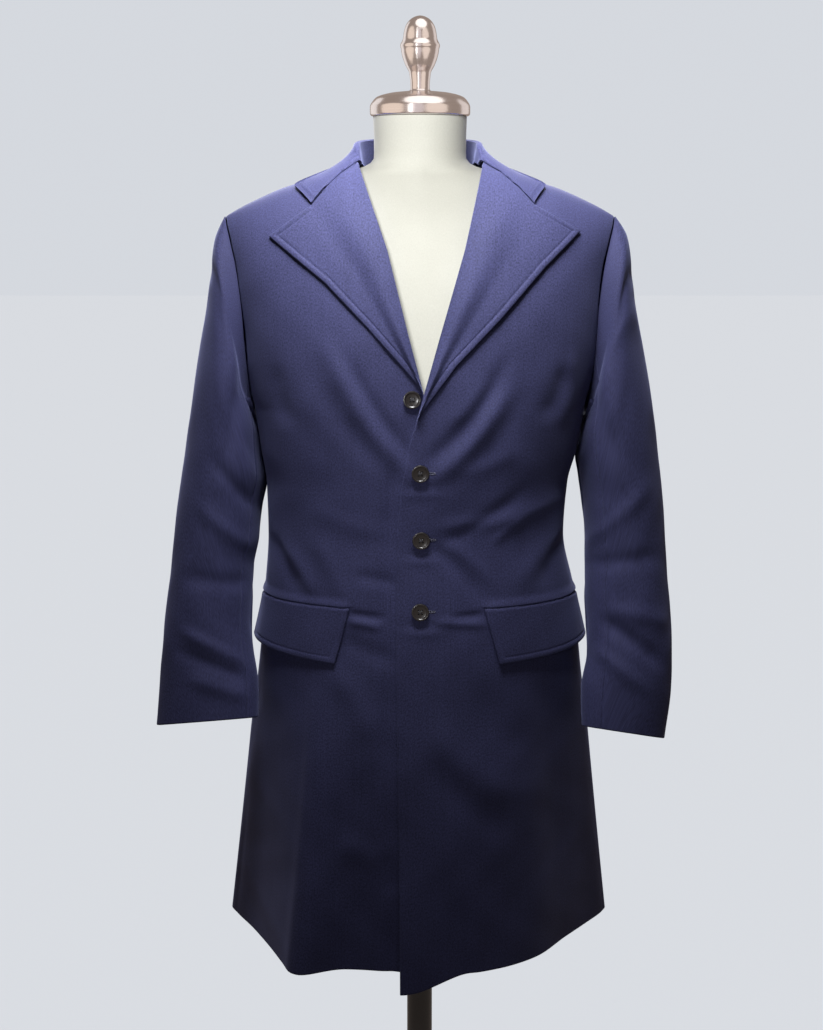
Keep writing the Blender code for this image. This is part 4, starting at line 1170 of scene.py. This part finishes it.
def make_lapel(side, material):
    grid, share, up = lapel_grid(*LAPELS[side])
    lift = np.full(grid.shape[:2], LAYER_LIFT + WALL)
    top_fade = 1 - up[:, None] ** 4
    lift += LAPEL_ROLL_RISE * np.sin(math.pi * np.clip(share / LAPEL_ROLL_SHARE, 0, 1)) ** 2 * top_fade
    lift += LAPEL_EDGE_RISE[side] * share**2 * np.clip(up[:, None] / LAPEL_BREAK_SHARE, 0, 1)
    base, _ = front_point(grid[..., 0], grid[..., 1], np.zeros(grid.shape[:2]))
    if side == "left":
        lift += lap_rise(base)
    notch = edge_distance(base, 0, True)
    past = ease((share - NOTCH_AT) / NOTCH_FADE)
    nearest = np.minimum(edge_distance(base, 1, True), notch + (1 - past) * NOTCH_AWAY)
    lift += stitched_edge(nearest) * ease(up[:, None] / LAPEL_START_SHARE)
    lift += (1 - past) * pressed_seam(notch)
    lift += LAPEL_WAVE_SHARE * wave_height(grid[..., 0] * LAPEL_WAVE_SCALE, grid[..., 1] * LAPEL_WAVE_SCALE)
    points, normal = front_point(grid[..., 0], grid[..., 1], lift)
    return make_shell(f"cloth_lapel_{side}", points, normal, material, flat=grid)


def coat_at(x, turn):
    """Points over the shoulder, and their outward directions.

    The turn is 0 at the armpit's level in front, 1 on the shoulder line and 2
    at the armpit's level behind.
    """
    x, turn = np.broadcast_arrays(np.asarray(x, float), np.asarray(turn, float))
    level = 1 + np.where(turn <= 1, turn, 2 - turn)
    half = smooth(*columns(ARMHOLE)[:2], level - 1)
    power = SECTIONS[-1][-1]
    away = np.degrees(np.arcsin(np.minimum(np.abs(x) / half, 1) ** (power / 2)))
    angle = np.where(turn <= 1, away, 180 - away) * np.where(x < 0, -1, 1)
    return surface(angle, level), surface_normal(angle, level)


def collar_rib(station, side):
    """Points across the collar at one station: foot, stand, crest, fall."""
    sign = SIGN[side]
    _, _, gorge = LAPELS[side]
    stops = np.arange(len(COLLAR), dtype=float)
    row = [float(smooth(stops, column, station)) for column in columns(COLLAR)]
    inside = ease(station / COLLAR_END_REACH)
    slim = sign * (1 - LEFT_CREST_PULL * inside if side == "left" else 1)
    crest = np.array([slim * row[0], row[1], row[2]])
    foot = np.array([slim * row[3], row[4], row[5]])
    reach = 1 - float(ease((station - FOOT_DROP_STATION) / FOOT_DROP_FADE))
    lowest = form_height(foot[0], foot[1]) + FOOT_CLEAR
    foot[2] -= reach * (foot[2] - max(foot[2] - FOOT_DROP, lowest))
    outward = unit(np.array([crest[0], crest[1] - NECK_Y, 0.0]))
    fold = COLLAR_FOLD * (COLLAR_END_FOLD + (1 - COLLAR_END_FOLD) * inside)
    drop = np.array([0, 0, fold])
    leave = crest + outward * fold - drop
    rib = [foot + (crest - foot) * share - outward * hollow for share, hollow in COLLAR_STAND]
    for turn in np.radians(COLLAR_FOLD_TURNS):
        rib.append(crest - drop + outward * fold * math.cos(turn) + drop * math.sin(turn))
    rib.append(leave)
    neck_x, neck_turn, end_x, end_turn = row[6:]
    start, _ = coat_at(sign * neck_x, neck_turn)
    share = spread(COLLAR_ROWS, FALL_WIDTH, start=False)[1:]
    x = neck_x + (end_x - neck_x) * share
    turn = neck_turn + (end_turn - neck_turn) * share
    if station < 1:
        seam = along(gorge, share)
        seam_turn = level_at(seam[:, 0], seam[:, 1] + GORGE_GAP) - 1
        x = np.abs(seam[:, 0]) + (x - np.abs(seam[:, 0])) * station
        turn = seam_turn + (turn - seam_turn) * station
    base, normal = coat_at(sign * x, turn)
    height = ((1 - share) ** COLLAR_DROP_POWER)[:, None]
    fall = base + (leave - start) * height + normal * COLLAR_LIFT * (1 - height)
    return np.concatenate([np.array(rib), fall])


def make_collar(material):
    plain = np.linspace(COLLAR_END_STATIONS[-1], len(COLLAR) - 1, COLLAR_STATIONS)
    half = np.concatenate([COLLAR_END_STATIONS[:-1], plain])
    ribs = [collar_rib(station, "right") for station in half]
    ribs += [collar_rib(station, "left") for station in half[-2::-1]]
    middle = np.array(ribs)
    normal = grid_normals(middle)
    over = np.arange(middle.shape[1]) - len(COLLAR_STAND) - len(COLLAR_FOLD_TURNS)
    ends = np.minimum(edge_distance(middle, 0, False), edge_distance(middle, 0, True))
    out = stitched_edge(edge_distance(middle, 1, True)) * (over > 1)
    out = out + ease((over - 2) / COLLAR_FREE_ROWS) * COLLAR_END_SHARE * pressed_seam(ends)
    outer = middle + normal * (WALL / 2 + out)[..., None]
    return make_shell("cloth_collar", outer, normal, material)


def make_flap(side, material):
    sign = SIGN[side]
    drop = spread(FLAP_ROWS, FLAP_TOP_Z - FLAP_BOTTOM_Z)
    share = spread(FLAP_COLUMNS, FLAP_WIDTH)
    height = FLAP_TOP_Z + (FLAP_BOTTOM_Z - FLAP_TOP_Z) * drop
    rise = FLAP_END_RISE * drop[:, None] * share
    front_x = FLAP_FRONT_TOP_X[side] + (FLAP_FRONT_BOTTOM_X[side] - FLAP_FRONT_TOP_X[side]) * drop
    levels = (height - HEM_Z) / (ARMPIT_Z - HEM_Z)
    start = front_angle(sign * front_x, levels)
    end = sign * (FLAP_END_TOP_ANGLE + (FLAP_END_BOTTOM_ANGLE - FLAP_END_TOP_ANGLE) * drop)
    angle = start[:, None] + (end - start)[:, None] * share
    level = levels[:, None] + rise / (ARMPIT_Z - HEM_Z)
    stand = FLAP_FRONT_STAND + (FLAP_END_STAND - FLAP_FRONT_STAND) * share**2
    out = LAYER_LIFT * FLAP_LIFT_SHARE + WALL + stand * drop[:, None] ** FLAP_STAND_POWER
    normal = surface_normal(angle, level)
    points = surface(angle, level)
    if side == "left":
        out = out + lap_rise(points)
    out = out + front_relief(points)
    sides = np.minimum(edge_distance(points, 1, False), edge_distance(points, 1, True))
    nearest = np.minimum(sides, edge_distance(points, 0, True))
    out = out + FLAP_STITCH_SHARE * stitched_edge(nearest)
    out = out + FLAP_SEAM_SHARE * pressed_seam(edge_distance(points, 0, False))
    points = points + normal * out[..., None]
    return make_shell(f"cloth_flap_{side}", points, normal, material)


def direction_turn(facing):
    """The rotation that turns +Z to a direction, keeping +Y near upright."""
    ahead = Vector(facing).normalized()
    side = Vector((0, 0, 1)).cross(ahead).normalized()
    upright = ahead.cross(side)
    return Matrix((side, upright, ahead)).transposed().to_quaternion()


def make_button(number, place, shell, thread):
    """A button with a raised rim, four holes and the thread through them."""
    x, height, under = place
    relief = float(front_relief(np.array([x, 0.0, height])))
    point, normal = front_point(x, height, under + BUTTON_GAP + relief)
    turn = np.arange(BUTTON_SIDES) * 2 * math.pi / BUTTON_SIDES
    build = bmesh.new()
    rings = []
    for radius, level in BUTTON_PROFILE[1:-1]:
        rings.append([build.verts.new((radius * math.cos(a), radius * math.sin(a), level)) for a in turn])
    low = build.verts.new((0, 0, BUTTON_PROFILE[0][1]))
    high = build.verts.new((0, 0, BUTTON_PROFILE[-1][1]))
    for side in range(BUTTON_SIDES):
        after = (side + 1) % BUTTON_SIDES
        build.faces.new((low, rings[0][after], rings[0][side]))
        build.faces.new((high, rings[-1][side], rings[-1][after]))
        for lower, upper in zip(rings, rings[1:]):
            build.faces.new((lower[side], lower[after], upper[after], upper[side]))
    mesh = bpy.data.meshes.new(f"button_{number}_disc")
    build.to_mesh(mesh)
    build.free()
    button = link(f"coat_button_{number}", mesh, shell)
    for side_x, side_y in ((-1, -1), (-1, 1), (1, -1), (1, 1)):
        drill_hole(button, side_x * BUTTON_HOLE_REACH, side_y * BUTTON_HOLE_REACH)
    mesh = button.data
    mesh.shade_smooth()
    mesh.set_sharp_from_angle(angle=math.radians(BUTTON_SHARP))
    button.location = point
    button.rotation_mode = "QUATERNION"
    button.rotation_quaternion = direction_turn(normal)
    stitches = make_button_thread(number, thread)
    stitches.parent = button
    return button, stitches


def drill_hole(button, x, y):
    """Cuts one round hole through a button."""
    build = bmesh.new()
    bmesh.ops.create_cone(
        build, cap_ends=True, segments=DRILL_SIDES, radius1=BUTTON_HOLE_RADIUS,
        radius2=BUTTON_HOLE_RADIUS, depth=DRILL_LENGTH, matrix=Matrix.Translation((x, y, DRILL_Z)),
    )
    mesh = bpy.data.meshes.new("drill")
    build.to_mesh(mesh)
    build.free()
    drill = bpy.data.objects.new("drill", mesh)
    bpy.context.collection.objects.link(drill)
    cut = button.modifiers.new("hole", "BOOLEAN")
    cut.object = drill
    cut.operation = "DIFFERENCE"
    bpy.context.view_layer.update()
    evaluated = button.evaluated_get(bpy.context.evaluated_depsgraph_get())
    made = bpy.data.meshes.new_from_object(evaluated)
    button.modifiers.clear()
    button.data = made
    bpy.data.objects.remove(drill, do_unlink=True)


def make_cord(name, paths, radius, facing, closed, material):
    """Round threads along paths, as one mesh."""
    turn = np.arange(THREAD_SIDES) * 2 * math.pi / THREAD_SIDES
    vertices = []
    faces = []
    for path in paths:
        path = np.array(path, float)
        count = len(path)
        if closed:
            ahead = unit(np.roll(path, -1, axis=0) - np.roll(path, 1, axis=0))
        else:
            ahead = unit(np.gradient(path, axis=0))
        aside = unit(np.cross(ahead, np.array(facing, float)))
        upright = np.cross(aside, ahead)
        first = len(vertices)
        for point, right, up in zip(path, aside, upright):
            ring = point + radius * (np.outer(np.cos(turn), right) + np.outer(np.sin(turn), up))
            vertices += ring.tolist()
        for index in range(count if closed else count - 1):
            low = first + index * THREAD_SIDES
            high = first + (index + 1) % count * THREAD_SIDES
            for side in range(THREAD_SIDES):
                after = (side + 1) % THREAD_SIDES
                faces.append((low + side, low + after, high + after, high + side))
        if not closed:
            last = first + (count - 1) * THREAD_SIDES
            faces.append(tuple(first + side for side in reversed(range(THREAD_SIDES))))
            faces.append(tuple(last + side for side in range(THREAD_SIDES)))
    mesh = bpy.data.meshes.new(name)
    mesh.from_pydata(vertices, [], faces)
    mesh.shade_smooth()
    mesh.update()
    return link(name, mesh, material)


def make_button_thread(number, thread):
    """Two crossing bars of thread between the holes of a button."""
    share = np.linspace(-1, 1, THREAD_POINTS)
    rise = THREAD_Z + THREAD_BOW * (1 - share**2)
    rise[[0, -1]] -= THREAD_SINK
    paths = []
    for sign in (-1, 1):
        for aside in (-THREAD_RADIUS, THREAD_RADIUS):
            x = share * BUTTON_HOLE_REACH - sign * aside * THREAD_SPLAY
            y = sign * share * BUTTON_HOLE_REACH + aside * THREAD_SPLAY
            paths.append(np.stack([x, y, rise], axis=1))
    return make_cord(f"button_thread_{number}", paths, THREAD_RADIUS, (0, 0, 1), False, thread)


def make_buttonhole(number, place, thread):
    """The worked ring of stitches round one buttonhole."""
    x, height, under = place
    turns = np.linspace(0, 2 * math.pi, BUTTONHOLE_POINTS, endpoint=False)
    half = (BUTTONHOLE_END - BUTTONHOLE_START) / 2
    middle = (BUTTONHOLE_END + BUTTONHOLE_START) / 2
    swell = 1 + BUTTONHOLE_EYE * np.clip(np.cos(turns), 0, 1) ** BUTTONHOLE_EYE_POWER
    bluntness = np.abs(np.cos(turns)) ** BUTTONHOLE_BLUNT_POWER
    across = x + middle + half * np.sign(np.cos(turns)) * bluntness
    up = height + BUTTONHOLE_HALF * swell * np.sin(turns)
    base, _ = front_point(across, up, np.zeros(across.shape))
    points, _ = front_point(across, up, under + BUTTONHOLE_RISE + front_relief(base))
    return make_cord(f"buttonhole_{number}", [points], BUTTONHOLE_BEAD, (0, -1, 0), True, thread)


def node_at(tree, kind, **values):
    node = tree.nodes.new(kind)
    for name, value in values.items():
        if name in node.inputs.keys():
            node.inputs[name].default_value = value
        else:
            setattr(node, name, value)
    return node


def new_material(name):
    material = bpy.data.materials.new(name)
    material.use_nodes = True
    tree = material.node_tree
    return material, tree, tree.nodes["Principled BSDF"]


def mapped(tree, vector, socket, value):
    """A vector after one setting of a mapping is changed."""
    mapping = node_at(tree, "ShaderNodeMapping")
    mapping.inputs[socket].default_value = value
    tree.links.new(vector, mapping.inputs["Vector"])
    return mapping.outputs["Vector"]


def texture(tree, kind, vector, **values):
    """The value of a Noise or Wave texture at a vector."""
    made = node_at(tree, f"ShaderNodeTex{kind}", **values)
    tree.links.new(vector, made.inputs["Vector"])
    return made.outputs["Fac"]


def weighted(tree, value, share, rest=None):
    """A value times its share, plus the rest."""
    made = node_at(tree, "ShaderNodeMath", operation="MULTIPLY" if rest is None else "MULTIPLY_ADD")
    made.inputs[1].default_value = share
    tree.links.new(value, made.inputs[0])
    if rest is not None:
        tree.links.new(rest, made.inputs[2])
    return made.outputs["Value"]


def colour_by(tree, shader, value, dark, light, low=0.0, high=1.0):
    """A base colour that runs from dark to light with a value."""
    ramp = node_at(tree, "ShaderNodeValToRGB")
    for number, place, colour in ((0, low, dark), (1, high, light)):
        ramp.color_ramp.elements[number].position = place
        ramp.color_ramp.elements[number].color = (*colour, 1)
    tree.links.new(value, ramp.inputs["Fac"])
    tree.links.new(ramp.outputs["Color"], shader.inputs["Base Color"])


def roughness_by(tree, shader, value, low, high):
    """A roughness that follows a value."""
    rough = node_at(tree, "ShaderNodeMapRange")
    rough.inputs["To Min"].default_value = low
    rough.inputs["To Max"].default_value = high
    tree.links.new(value, rough.inputs["Value"])
    tree.links.new(rough.outputs["Result"], shader.inputs["Roughness"])


def relief_by(tree, shader, height, strength, distance):
    """A fine relief that follows a height."""
    relief = node_at(tree, "ShaderNodeBump", Strength=strength, Distance=distance)
    tree.links.new(height, relief.inputs["Height"])
    tree.links.new(relief.outputs["Normal"], shader.inputs["Normal"])


def set_inputs(shader, values):
    for socket, value in values.items():
        shader.inputs[socket].default_value = value


def twill_material():
    """Navy wool twill: fine diagonal ribs, slub, faint shade changes and a soft sheen."""
    material, tree, shader = new_material("navy_twill")
    cut = node_at(tree, "ShaderNodeUVMap", uv_map="cut").outputs["UV"]
    place = node_at(tree, "ShaderNodeTexCoord").outputs["Object"]
    slant = mapped(tree, cut, "Rotation", (0, 0, math.radians(58)))
    fine = {"Detail Scale": 2.0}
    rib = texture(tree, "Wave", slant, Scale=290.0, Distortion=2.6, Detail=3.0, **fine)
    yarn_place = mapped(tree, cut, "Scale", (560.0, 430.0, 1.0))
    yarn = texture(tree, "Noise", yarn_place, Scale=1.0, Detail=3.0)
    streak_place = mapped(tree, cut, "Scale", (260.0, 7.0, 1.0))
    streak = texture(tree, "Noise", streak_place, Scale=1.0, Detail=2.0)
    cloud = texture(tree, "Noise", place, Scale=7.0, Detail=3.0)
    weave = weighted(tree, yarn, 0.90, weighted(tree, rib, 0.16))
    shade = weighted(tree, cloud, 0.20, weighted(tree, streak, 0.12, weave))
    colour_by(tree, shader, shade, (0.0150, 0.0160, 0.0400), (0.0560, 0.0580, 0.1480), 0.42, 0.96)
    roughness_by(tree, shader, yarn, 0.62, 0.86)
    relief_by(tree, shader, weave, 0.35, 0.0004)
    set_inputs(shader, {
        "Sheen Weight": 0.22,
        "Sheen Roughness": 0.45,
        "Sheen Tint": (0.42, 0.46, 0.85, 1),
        "Specular IOR Level": 0.14,
    })
    return material


def button_material():
    """Polished dark horn with faint cloudy bands."""
    material, tree, shader = new_material("dark_horn")
    place = node_at(tree, "ShaderNodeTexCoord").outputs["Object"]
    cloud = texture(tree, "Noise", place, Scale=160.0, Detail=4.0)
    colour_by(tree, shader, cloud, (0.005, 0.005, 0.006), (0.016, 0.014, 0.015))
    roughness_by(tree, shader, cloud, 0.18, 0.36)
    set_inputs(shader, {"Coat Weight": 0.3})
    return material


def thread_material(name, dark, light):
    """Twisted sewing thread."""
    material, tree, shader = new_material(name)
    place = node_at(tree, "ShaderNodeTexCoord").outputs["Object"]
    twist = texture(tree, "Wave", place, Scale=900.0, Distortion=2.0)
    colour_by(tree, shader, twist, dark, light)
    set_inputs(shader, {"Roughness": 0.6})
    return material


def cover_material():
    """Smooth off-white stretch cover of the form."""
    material, tree, shader = new_material("form_jersey")
    place = node_at(tree, "ShaderNodeTexCoord").outputs["Object"]
    knit_place = mapped(tree, place, "Scale", (900.0, 900.0, 500.0))
    knit = texture(tree, "Noise", knit_place, Scale=1.0, Detail=2.0)
    cloud = texture(tree, "Noise", place, Scale=9.0, Detail=2.0)
    shade = weighted(tree, knit, 0.4, weighted(tree, cloud, 0.6))
    colour_by(tree, shader, shade, (0.60, 0.59, 0.51), (0.72, 0.71, 0.62), 0.3, 0.7)
    relief_by(tree, shader, knit, 0.2, 0.0003)
    set_inputs(shader, {"Roughness": 0.75, "Sheen Weight": 0.2})
    return material


def nickel_material():
    """Warm nickel, brushed round its axis."""
    material, tree, shader = new_material("brushed_nickel")
    place = node_at(tree, "ShaderNodeTexCoord").outputs["Object"]
    brush_place = mapped(tree, place, "Scale", (9.0, 9.0, 1500.0))
    brush = texture(tree, "Noise", brush_place, Scale=1.0, Detail=3.0)
    colour_by(tree, shader, brush, (0.67, 0.62, 0.60), (0.78, 0.73, 0.72))
    roughness_by(tree, shader, brush, 0.16, 0.24)
    set_inputs(shader, {"Metallic": 1.0})
    return material


def stand_material():
    """Satin black powder coat."""
    material, tree, shader = new_material("satin_black")
    place = node_at(tree, "ShaderNodeTexCoord").outputs["Object"]
    grain = texture(tree, "Noise", place, Scale=600.0, Detail=2.0)
    colour_by(tree, shader, grain, (0.022, 0.022, 0.024), (0.040, 0.040, 0.043))
    relief_by(tree, shader, grain, 0.15, 0.0002)
    set_inputs(shader, {"Roughness": 0.38})
    return material


def make_floor():
    mesh = bpy.data.meshes.new("floor")
    corners = ((-1, -1), (1, -1), (1, 1), (-1, 1))
    mesh.from_pydata([(x * FLOOR_REACH, y * FLOOR_REACH, 0) for x, y in corners], [], [(0, 1, 2, 3)])
    material, _, shader = new_material("pale_floor")
    set_inputs(shader, {
        "Base Color": (0.616, 0.637, 0.676, 1),
        "Roughness": 0.9,
        "Specular IOR Level": 0.1,
    })
    floor = link("floor", mesh, material)
    floor.visible_diffuse = False
    floor.visible_glossy = False
    return floor


def split_rays(tree, ray, plain, other):
    """One background for most rays, and another for one kind of ray."""
    mix = tree.nodes.new("ShaderNodeMixShader")
    tree.links.new(ray, mix.inputs["Fac"])
    tree.links.new(plain.outputs[0], mix.inputs[1])
    tree.links.new(other.outputs[0], mix.inputs[2])
    return mix


def make_room():
    """A pale room seen behind the coat, which lights it only a little."""
    world = bpy.data.worlds.new("room")
    bpy.context.scene.world = world
    world.use_nodes = True
    tree = world.node_tree
    tree.nodes.clear()
    out = tree.nodes.new("ShaderNodeOutputWorld")
    seen = node_at(tree, "ShaderNodeBackground", Color=(*PALE, 1), Strength=1.0)
    cast = node_at(tree, "ShaderNodeBackground", Color=(*ROOM_COLOUR, 1), Strength=ROOM_STRENGTH)
    gloss = node_at(tree, "ShaderNodeBackground", Color=(*GLOSS_COLOUR, 1), Strength=1.0)
    path = tree.nodes.new("ShaderNodeLightPath")
    shine = split_rays(tree, path.outputs["Is Glossy Ray"], cast, gloss)
    view = split_rays(tree, path.outputs["Is Camera Ray"], shine, seen)
    tree.links.new(view.outputs[0], out.inputs["Surface"])


def add_lamp(name, place, target, size, power, group):
    """An oval softbox that lights one group of pieces."""
    lamp = bpy.data.lights.new(name, "AREA")
    lamp.shape = "ELLIPSE"
    lamp.size, lamp.size_y = size
    lamp.energy = power
    item = bpy.data.objects.new(name, lamp)
    item.location = place
    aim = Vector(target) - Vector(place)
    item.rotation_euler = aim.to_track_quat("-Z", "Y").to_euler()
    item.visible_camera = False
    bpy.context.collection.objects.link(item)
    item.light_linking.receiver_collection = group
    return lamp


def add_panel(name, place, size, brightness, colour, group):
    """A panel of a set brightness, aimed at the nickel."""
    power = brightness * math.pi / 4 * size[0] * size[1] * math.pi
    lamp = add_lamp(name, place, PANEL_TARGET, size, power, group)
    lamp.color = colour


def make_lights(floor, stand):
    """Softboxes, the panels that the nickel reflects, and a light on the floor alone."""
    shine = [item for item in stand if item.name in ("form_neck_cap", "form_finial")]
    plain = [item for item in stand if item not in shine]
    cloth = [item for item in bpy.context.scene.objects if item.type == "MESH"]
    cloth = [item for item in cloth if item not in stand and item != floor]
    lit = {"floor": [floor], "nickel": shine, "stand": plain, "coat": cloth, "both": cloth + plain}
    groups = {}
    for name, items in lit.items():
        groups[name] = bpy.data.collections.new(f"lit_{name}")
        for item in items:
            groups[name].objects.link(item)
    for name, place, target, power, width, spread_angle, aimed_at in SOFTBOXES:
        lamp = add_lamp(name, place, target, (width, width), power, groups[aimed_at])
        lamp.spread = math.radians(spread_angle)
        lamp.color = SOFTBOX_COLOUR
    for name, turn, height, width, tall, brightness, colour in PANELS:
        turn = math.radians(turn)
        place = (PANEL_REACH * math.sin(turn), -PANEL_REACH * math.cos(turn), height)
        add_panel(name, place, (width, tall), brightness, colour, groups["nickel"])
    name, place, width, brightness, colour = CEILING_PANEL
    add_panel(name, place, (width, width), brightness, colour, groups["nickel"])
    sun = bpy.data.lights.new("floor_light", "SUN")
    sun.energy = FLOOR_SUN
    sun.angle = math.radians(FLOOR_SUN_SPREAD)
    item = bpy.data.objects.new("floor_light", sun)
    bpy.context.collection.objects.link(item)
    item.light_linking.receiver_collection = groups["floor"]


def make_camera():
    camera = bpy.data.cameras.new("camera")
    camera.lens = LENS_MM
    camera.sensor_width = SENSOR_MM
    item = bpy.data.objects.new("camera", camera)
    item.location = CAMERA_PLACE
    item.rotation_euler = (math.radians(CAMERA_TILT), 0, 0)
    bpy.context.collection.objects.link(item)
    bpy.context.scene.camera = item
    bpy.context.scene.view_settings.view_transform = "Standard"


def place_cloth(piece, node):
    """Rides, and replaces its solid."""
    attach(piece, "root")
    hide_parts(node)


def make_coat():
    twill = twill_material()
    for side in ("left", "right"):
        front = make_front(side, twill)
        place_cloth(front, f"front_{side}")
        back = make_back(side, twill)
        place_cloth(back, f"back_{side}")
        lapel = make_lapel(side, twill)
        place_cloth(lapel, f"lapel_{side}")
        flap = make_flap(side, twill)
        place_cloth(flap, f"flap_{side}")
        seam = FOREARM_SEAM[side]
        upper = make_sleeve_piece(f"cloth_sleeve_upper_{side}", side, HIND_SEAM - 360, seam, twill)
        place_cloth(upper, f"sleeve_upper_{side}")
        under = make_sleeve_piece(f"cloth_sleeve_under_{side}", side, seam, HIND_SEAM, twill)
        place_cloth(under, f"sleeve_under_{side}")
    collar = make_collar(twill)
    place_cloth(collar, "collar")


def make_buttons():
    horn = button_material()
    thread = thread_material("button_thread", (0.010, 0.010, 0.012), (0.045, 0.045, 0.055))
    silk = thread_material("buttonhole_silk", (0.016, 0.017, 0.036), (0.075, 0.078, 0.130))
    for number, place in enumerate(BUTTON_PLACES, start=1):
        button, stitches = make_button(number, place, horn, thread)
        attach(button, "root")
        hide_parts(f"button_{number}")
        if number > 1:
            hole = make_buttonhole(number, place, silk)
            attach(hole, "root")


def form_height(x, y):
    """Height of the form's shoulder at a place."""
    _, _, ahead, behind, _ = FORM_SECTIONS[-1]
    top = float(shoulder_height(x)) - FORM_SEAT
    thin = (1 - (abs(x) / FORM_HALF) ** FORM_POWER) ** (1 / FORM_POWER)
    lean = min(abs(y) / ((ahead if y < 0 else behind) * thin), 1)
    return ARMPIT_Z + (top - ARMPIT_Z) * math.sqrt(1 - lean**2)


def form_level(height):
    """A ring of the torso, straight between its chest and its shoulders."""
    chest = FORM_SECTIONS[-1][0]
    if height <= chest or height >= FORM_SHOULDER_Z:
        return form_ring(height)
    low = form_ring(chest)
    share = (height - chest) / (FORM_SHOULDER_Z - chest)
    return low + (form_ring(FORM_SHOULDER_Z) - low) * share


def form_ring(height):
    """One level ring of the torso, front points first, then back ones."""
    stops, half, front, back, middle = columns(FORM_SECTIONS)
    place = np.sin(np.linspace(-1, 1, FORM_SIDE_POINTS) * math.pi / 2)
    ahead = float(smooth(stops, front, height))
    behind = float(smooth(stops, back, height))
    if height > FORM_SECTIONS[-1][0]:
        trial = np.linspace(FORM_INNER_X, FORM_ARM_X, FORM_TRIALS)
        x = place * np.interp(-height, FORM_SEAT - shoulder_height(trial), trial)
        top = shoulder_height(x) - FORM_SEAT
        rise = np.clip((height - ARMPIT_Z) / (top - ARMPIT_Z), 0, 1)
        lean = np.sqrt(1 - rise**2)
        thin = np.clip(1 - (np.abs(x) / FORM_HALF) ** FORM_POWER, 0, 1) ** (1 / FORM_POWER)
        front_y = np.minimum(-ahead * thin * lean, -FORM_RIDGE_HALF)
        back_y = np.maximum(behind * thin * lean, FORM_RIDGE_HALF)
    else:
        x = place * float(smooth(stops, half, height))
        centre = float(smooth(stops, middle, height))
        thin = np.clip(1 - np.abs(place) ** FORM_POWER, 0.0, 1) ** (1 / FORM_POWER)
        front_y = centre - np.maximum(ahead * thin, FORM_SIDE_DEPTH)
        back_y = centre + np.maximum(behind * thin, FORM_SIDE_DEPTH)
    level = np.full(x.shape, height)
    ahead_points = np.stack([x, front_y, level], axis=1)
    back_points = np.stack([x[::-1], back_y[::-1], level], axis=1)
    return np.concatenate([ahead_points, back_points])


def make_rings(name, rings, material, sharp):
    """A closed solid through rings of points, from the lowest up."""
    count = len(rings[0])
    vertices = np.concatenate(rings)
    faces = [tuple(range(count - 1, -1, -1))]
    for low in range(0, len(vertices) - count, count):
        for side in range(count):
            after = (side + 1) % count
            faces.append((low + side, low + after, low + count + after, low + count + side))
    faces.append(tuple(range(len(vertices) - count, len(vertices))))
    mesh = bpy.data.meshes.new(name)
    mesh.from_pydata(vertices.tolist(), [], faces)
    mesh.shade_smooth()
    mesh.set_sharp_from_angle(angle=math.radians(sharp))
    mesh.update()
    return link(name, mesh, material)


def make_torso(material):
    heights = np.concatenate([
        np.linspace(FORM_SECTIONS[0][0], FORM_SECTIONS[1][0], FORM_FOOT_ROWS),
        np.linspace(FORM_SECTIONS[1][0], FORM_TOP_Z, FORM_ROWS)[1:],
    ])
    rings = [form_level(height) for height in heights]
    spread_turn = np.linspace(-1, 1, FORM_SIDE_POINTS) * math.pi / 2 * (1 - 1 / FORM_SIDE_POINTS)
    top = rings[-1]
    for height, radius, roundness in NECK:
        ahead = np.stack([radius * np.sin(spread_turn), NECK_Y - radius * np.cos(spread_turn)], axis=1)
        behind = np.stack([ahead[::-1, 0], 2 * NECK_Y - ahead[::-1, 1]], axis=1)
        circle = np.concatenate([ahead, behind])
        plan = top[:, :2] + (circle - top[:, :2]) * roundness
        rings.append(np.column_stack([plan, np.full(len(plan), height)]))
    return make_rings("form_cover", rings, material, COVER_SHARP)


def soften(profile):
    """The profile with its corners rounded off."""
    points = np.array(profile)
    for _ in range(CORNER_ROUNDS):
        cut = [points[0]]
        for before, corner, after in zip(points, points[1:], points[2:]):
            for other in (before, after):
                length = np.linalg.norm(other - corner)
                cut.append(corner + (other - corner) * min(CORNER_CUT / length, CORNER_SHARE))
        cut.append(points[-1])
        points = np.array(cut)
    return points


def make_turned(name, profile, centre_y, material):
    """A round body turned about an upright axis."""
    turn = np.arange(ROUND_SIDES) * 2 * math.pi / ROUND_SIDES
    rings = []
    for radius, height in soften(profile):
        plan = (radius * np.cos(turn), centre_y + radius * np.sin(turn))
        rings.append(np.column_stack([*plan, np.full(turn.shape, height)]))
    return make_rings(name, rings, material, TURNED_SHARP)


def make_stand():
    """The form, its cap and finial, and the pole and base under it."""
    nickel = nickel_material()
    black = stand_material()
    pieces = (
        (make_torso(cover_material()), "form_torso", "form_cover"),
        (make_turned("form_neck_cap", CAP_PROFILE, NECK_Y, nickel), "neck_cap", "nickel"),
        (make_turned("form_finial", FINIAL_PROFILE, NECK_Y, nickel), "finial", "nickel"),
        (make_turned("stand_pole", POLE_PROFILE, 0.0, black), "pole", "stand_black"),
        (make_turned("stand_base", BASE_PROFILE, 0.0, black), "base", "stand_black"),
    )
    for piece, node, slot in pieces:
        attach(piece, "root")
        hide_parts(node)
    return [piece for piece, _, _ in pieces]


def main():
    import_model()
    make_camera()
    make_room()
    floor = make_floor()
    make_coat()
    make_buttons()
    make_lights(floor, make_stand())


main()
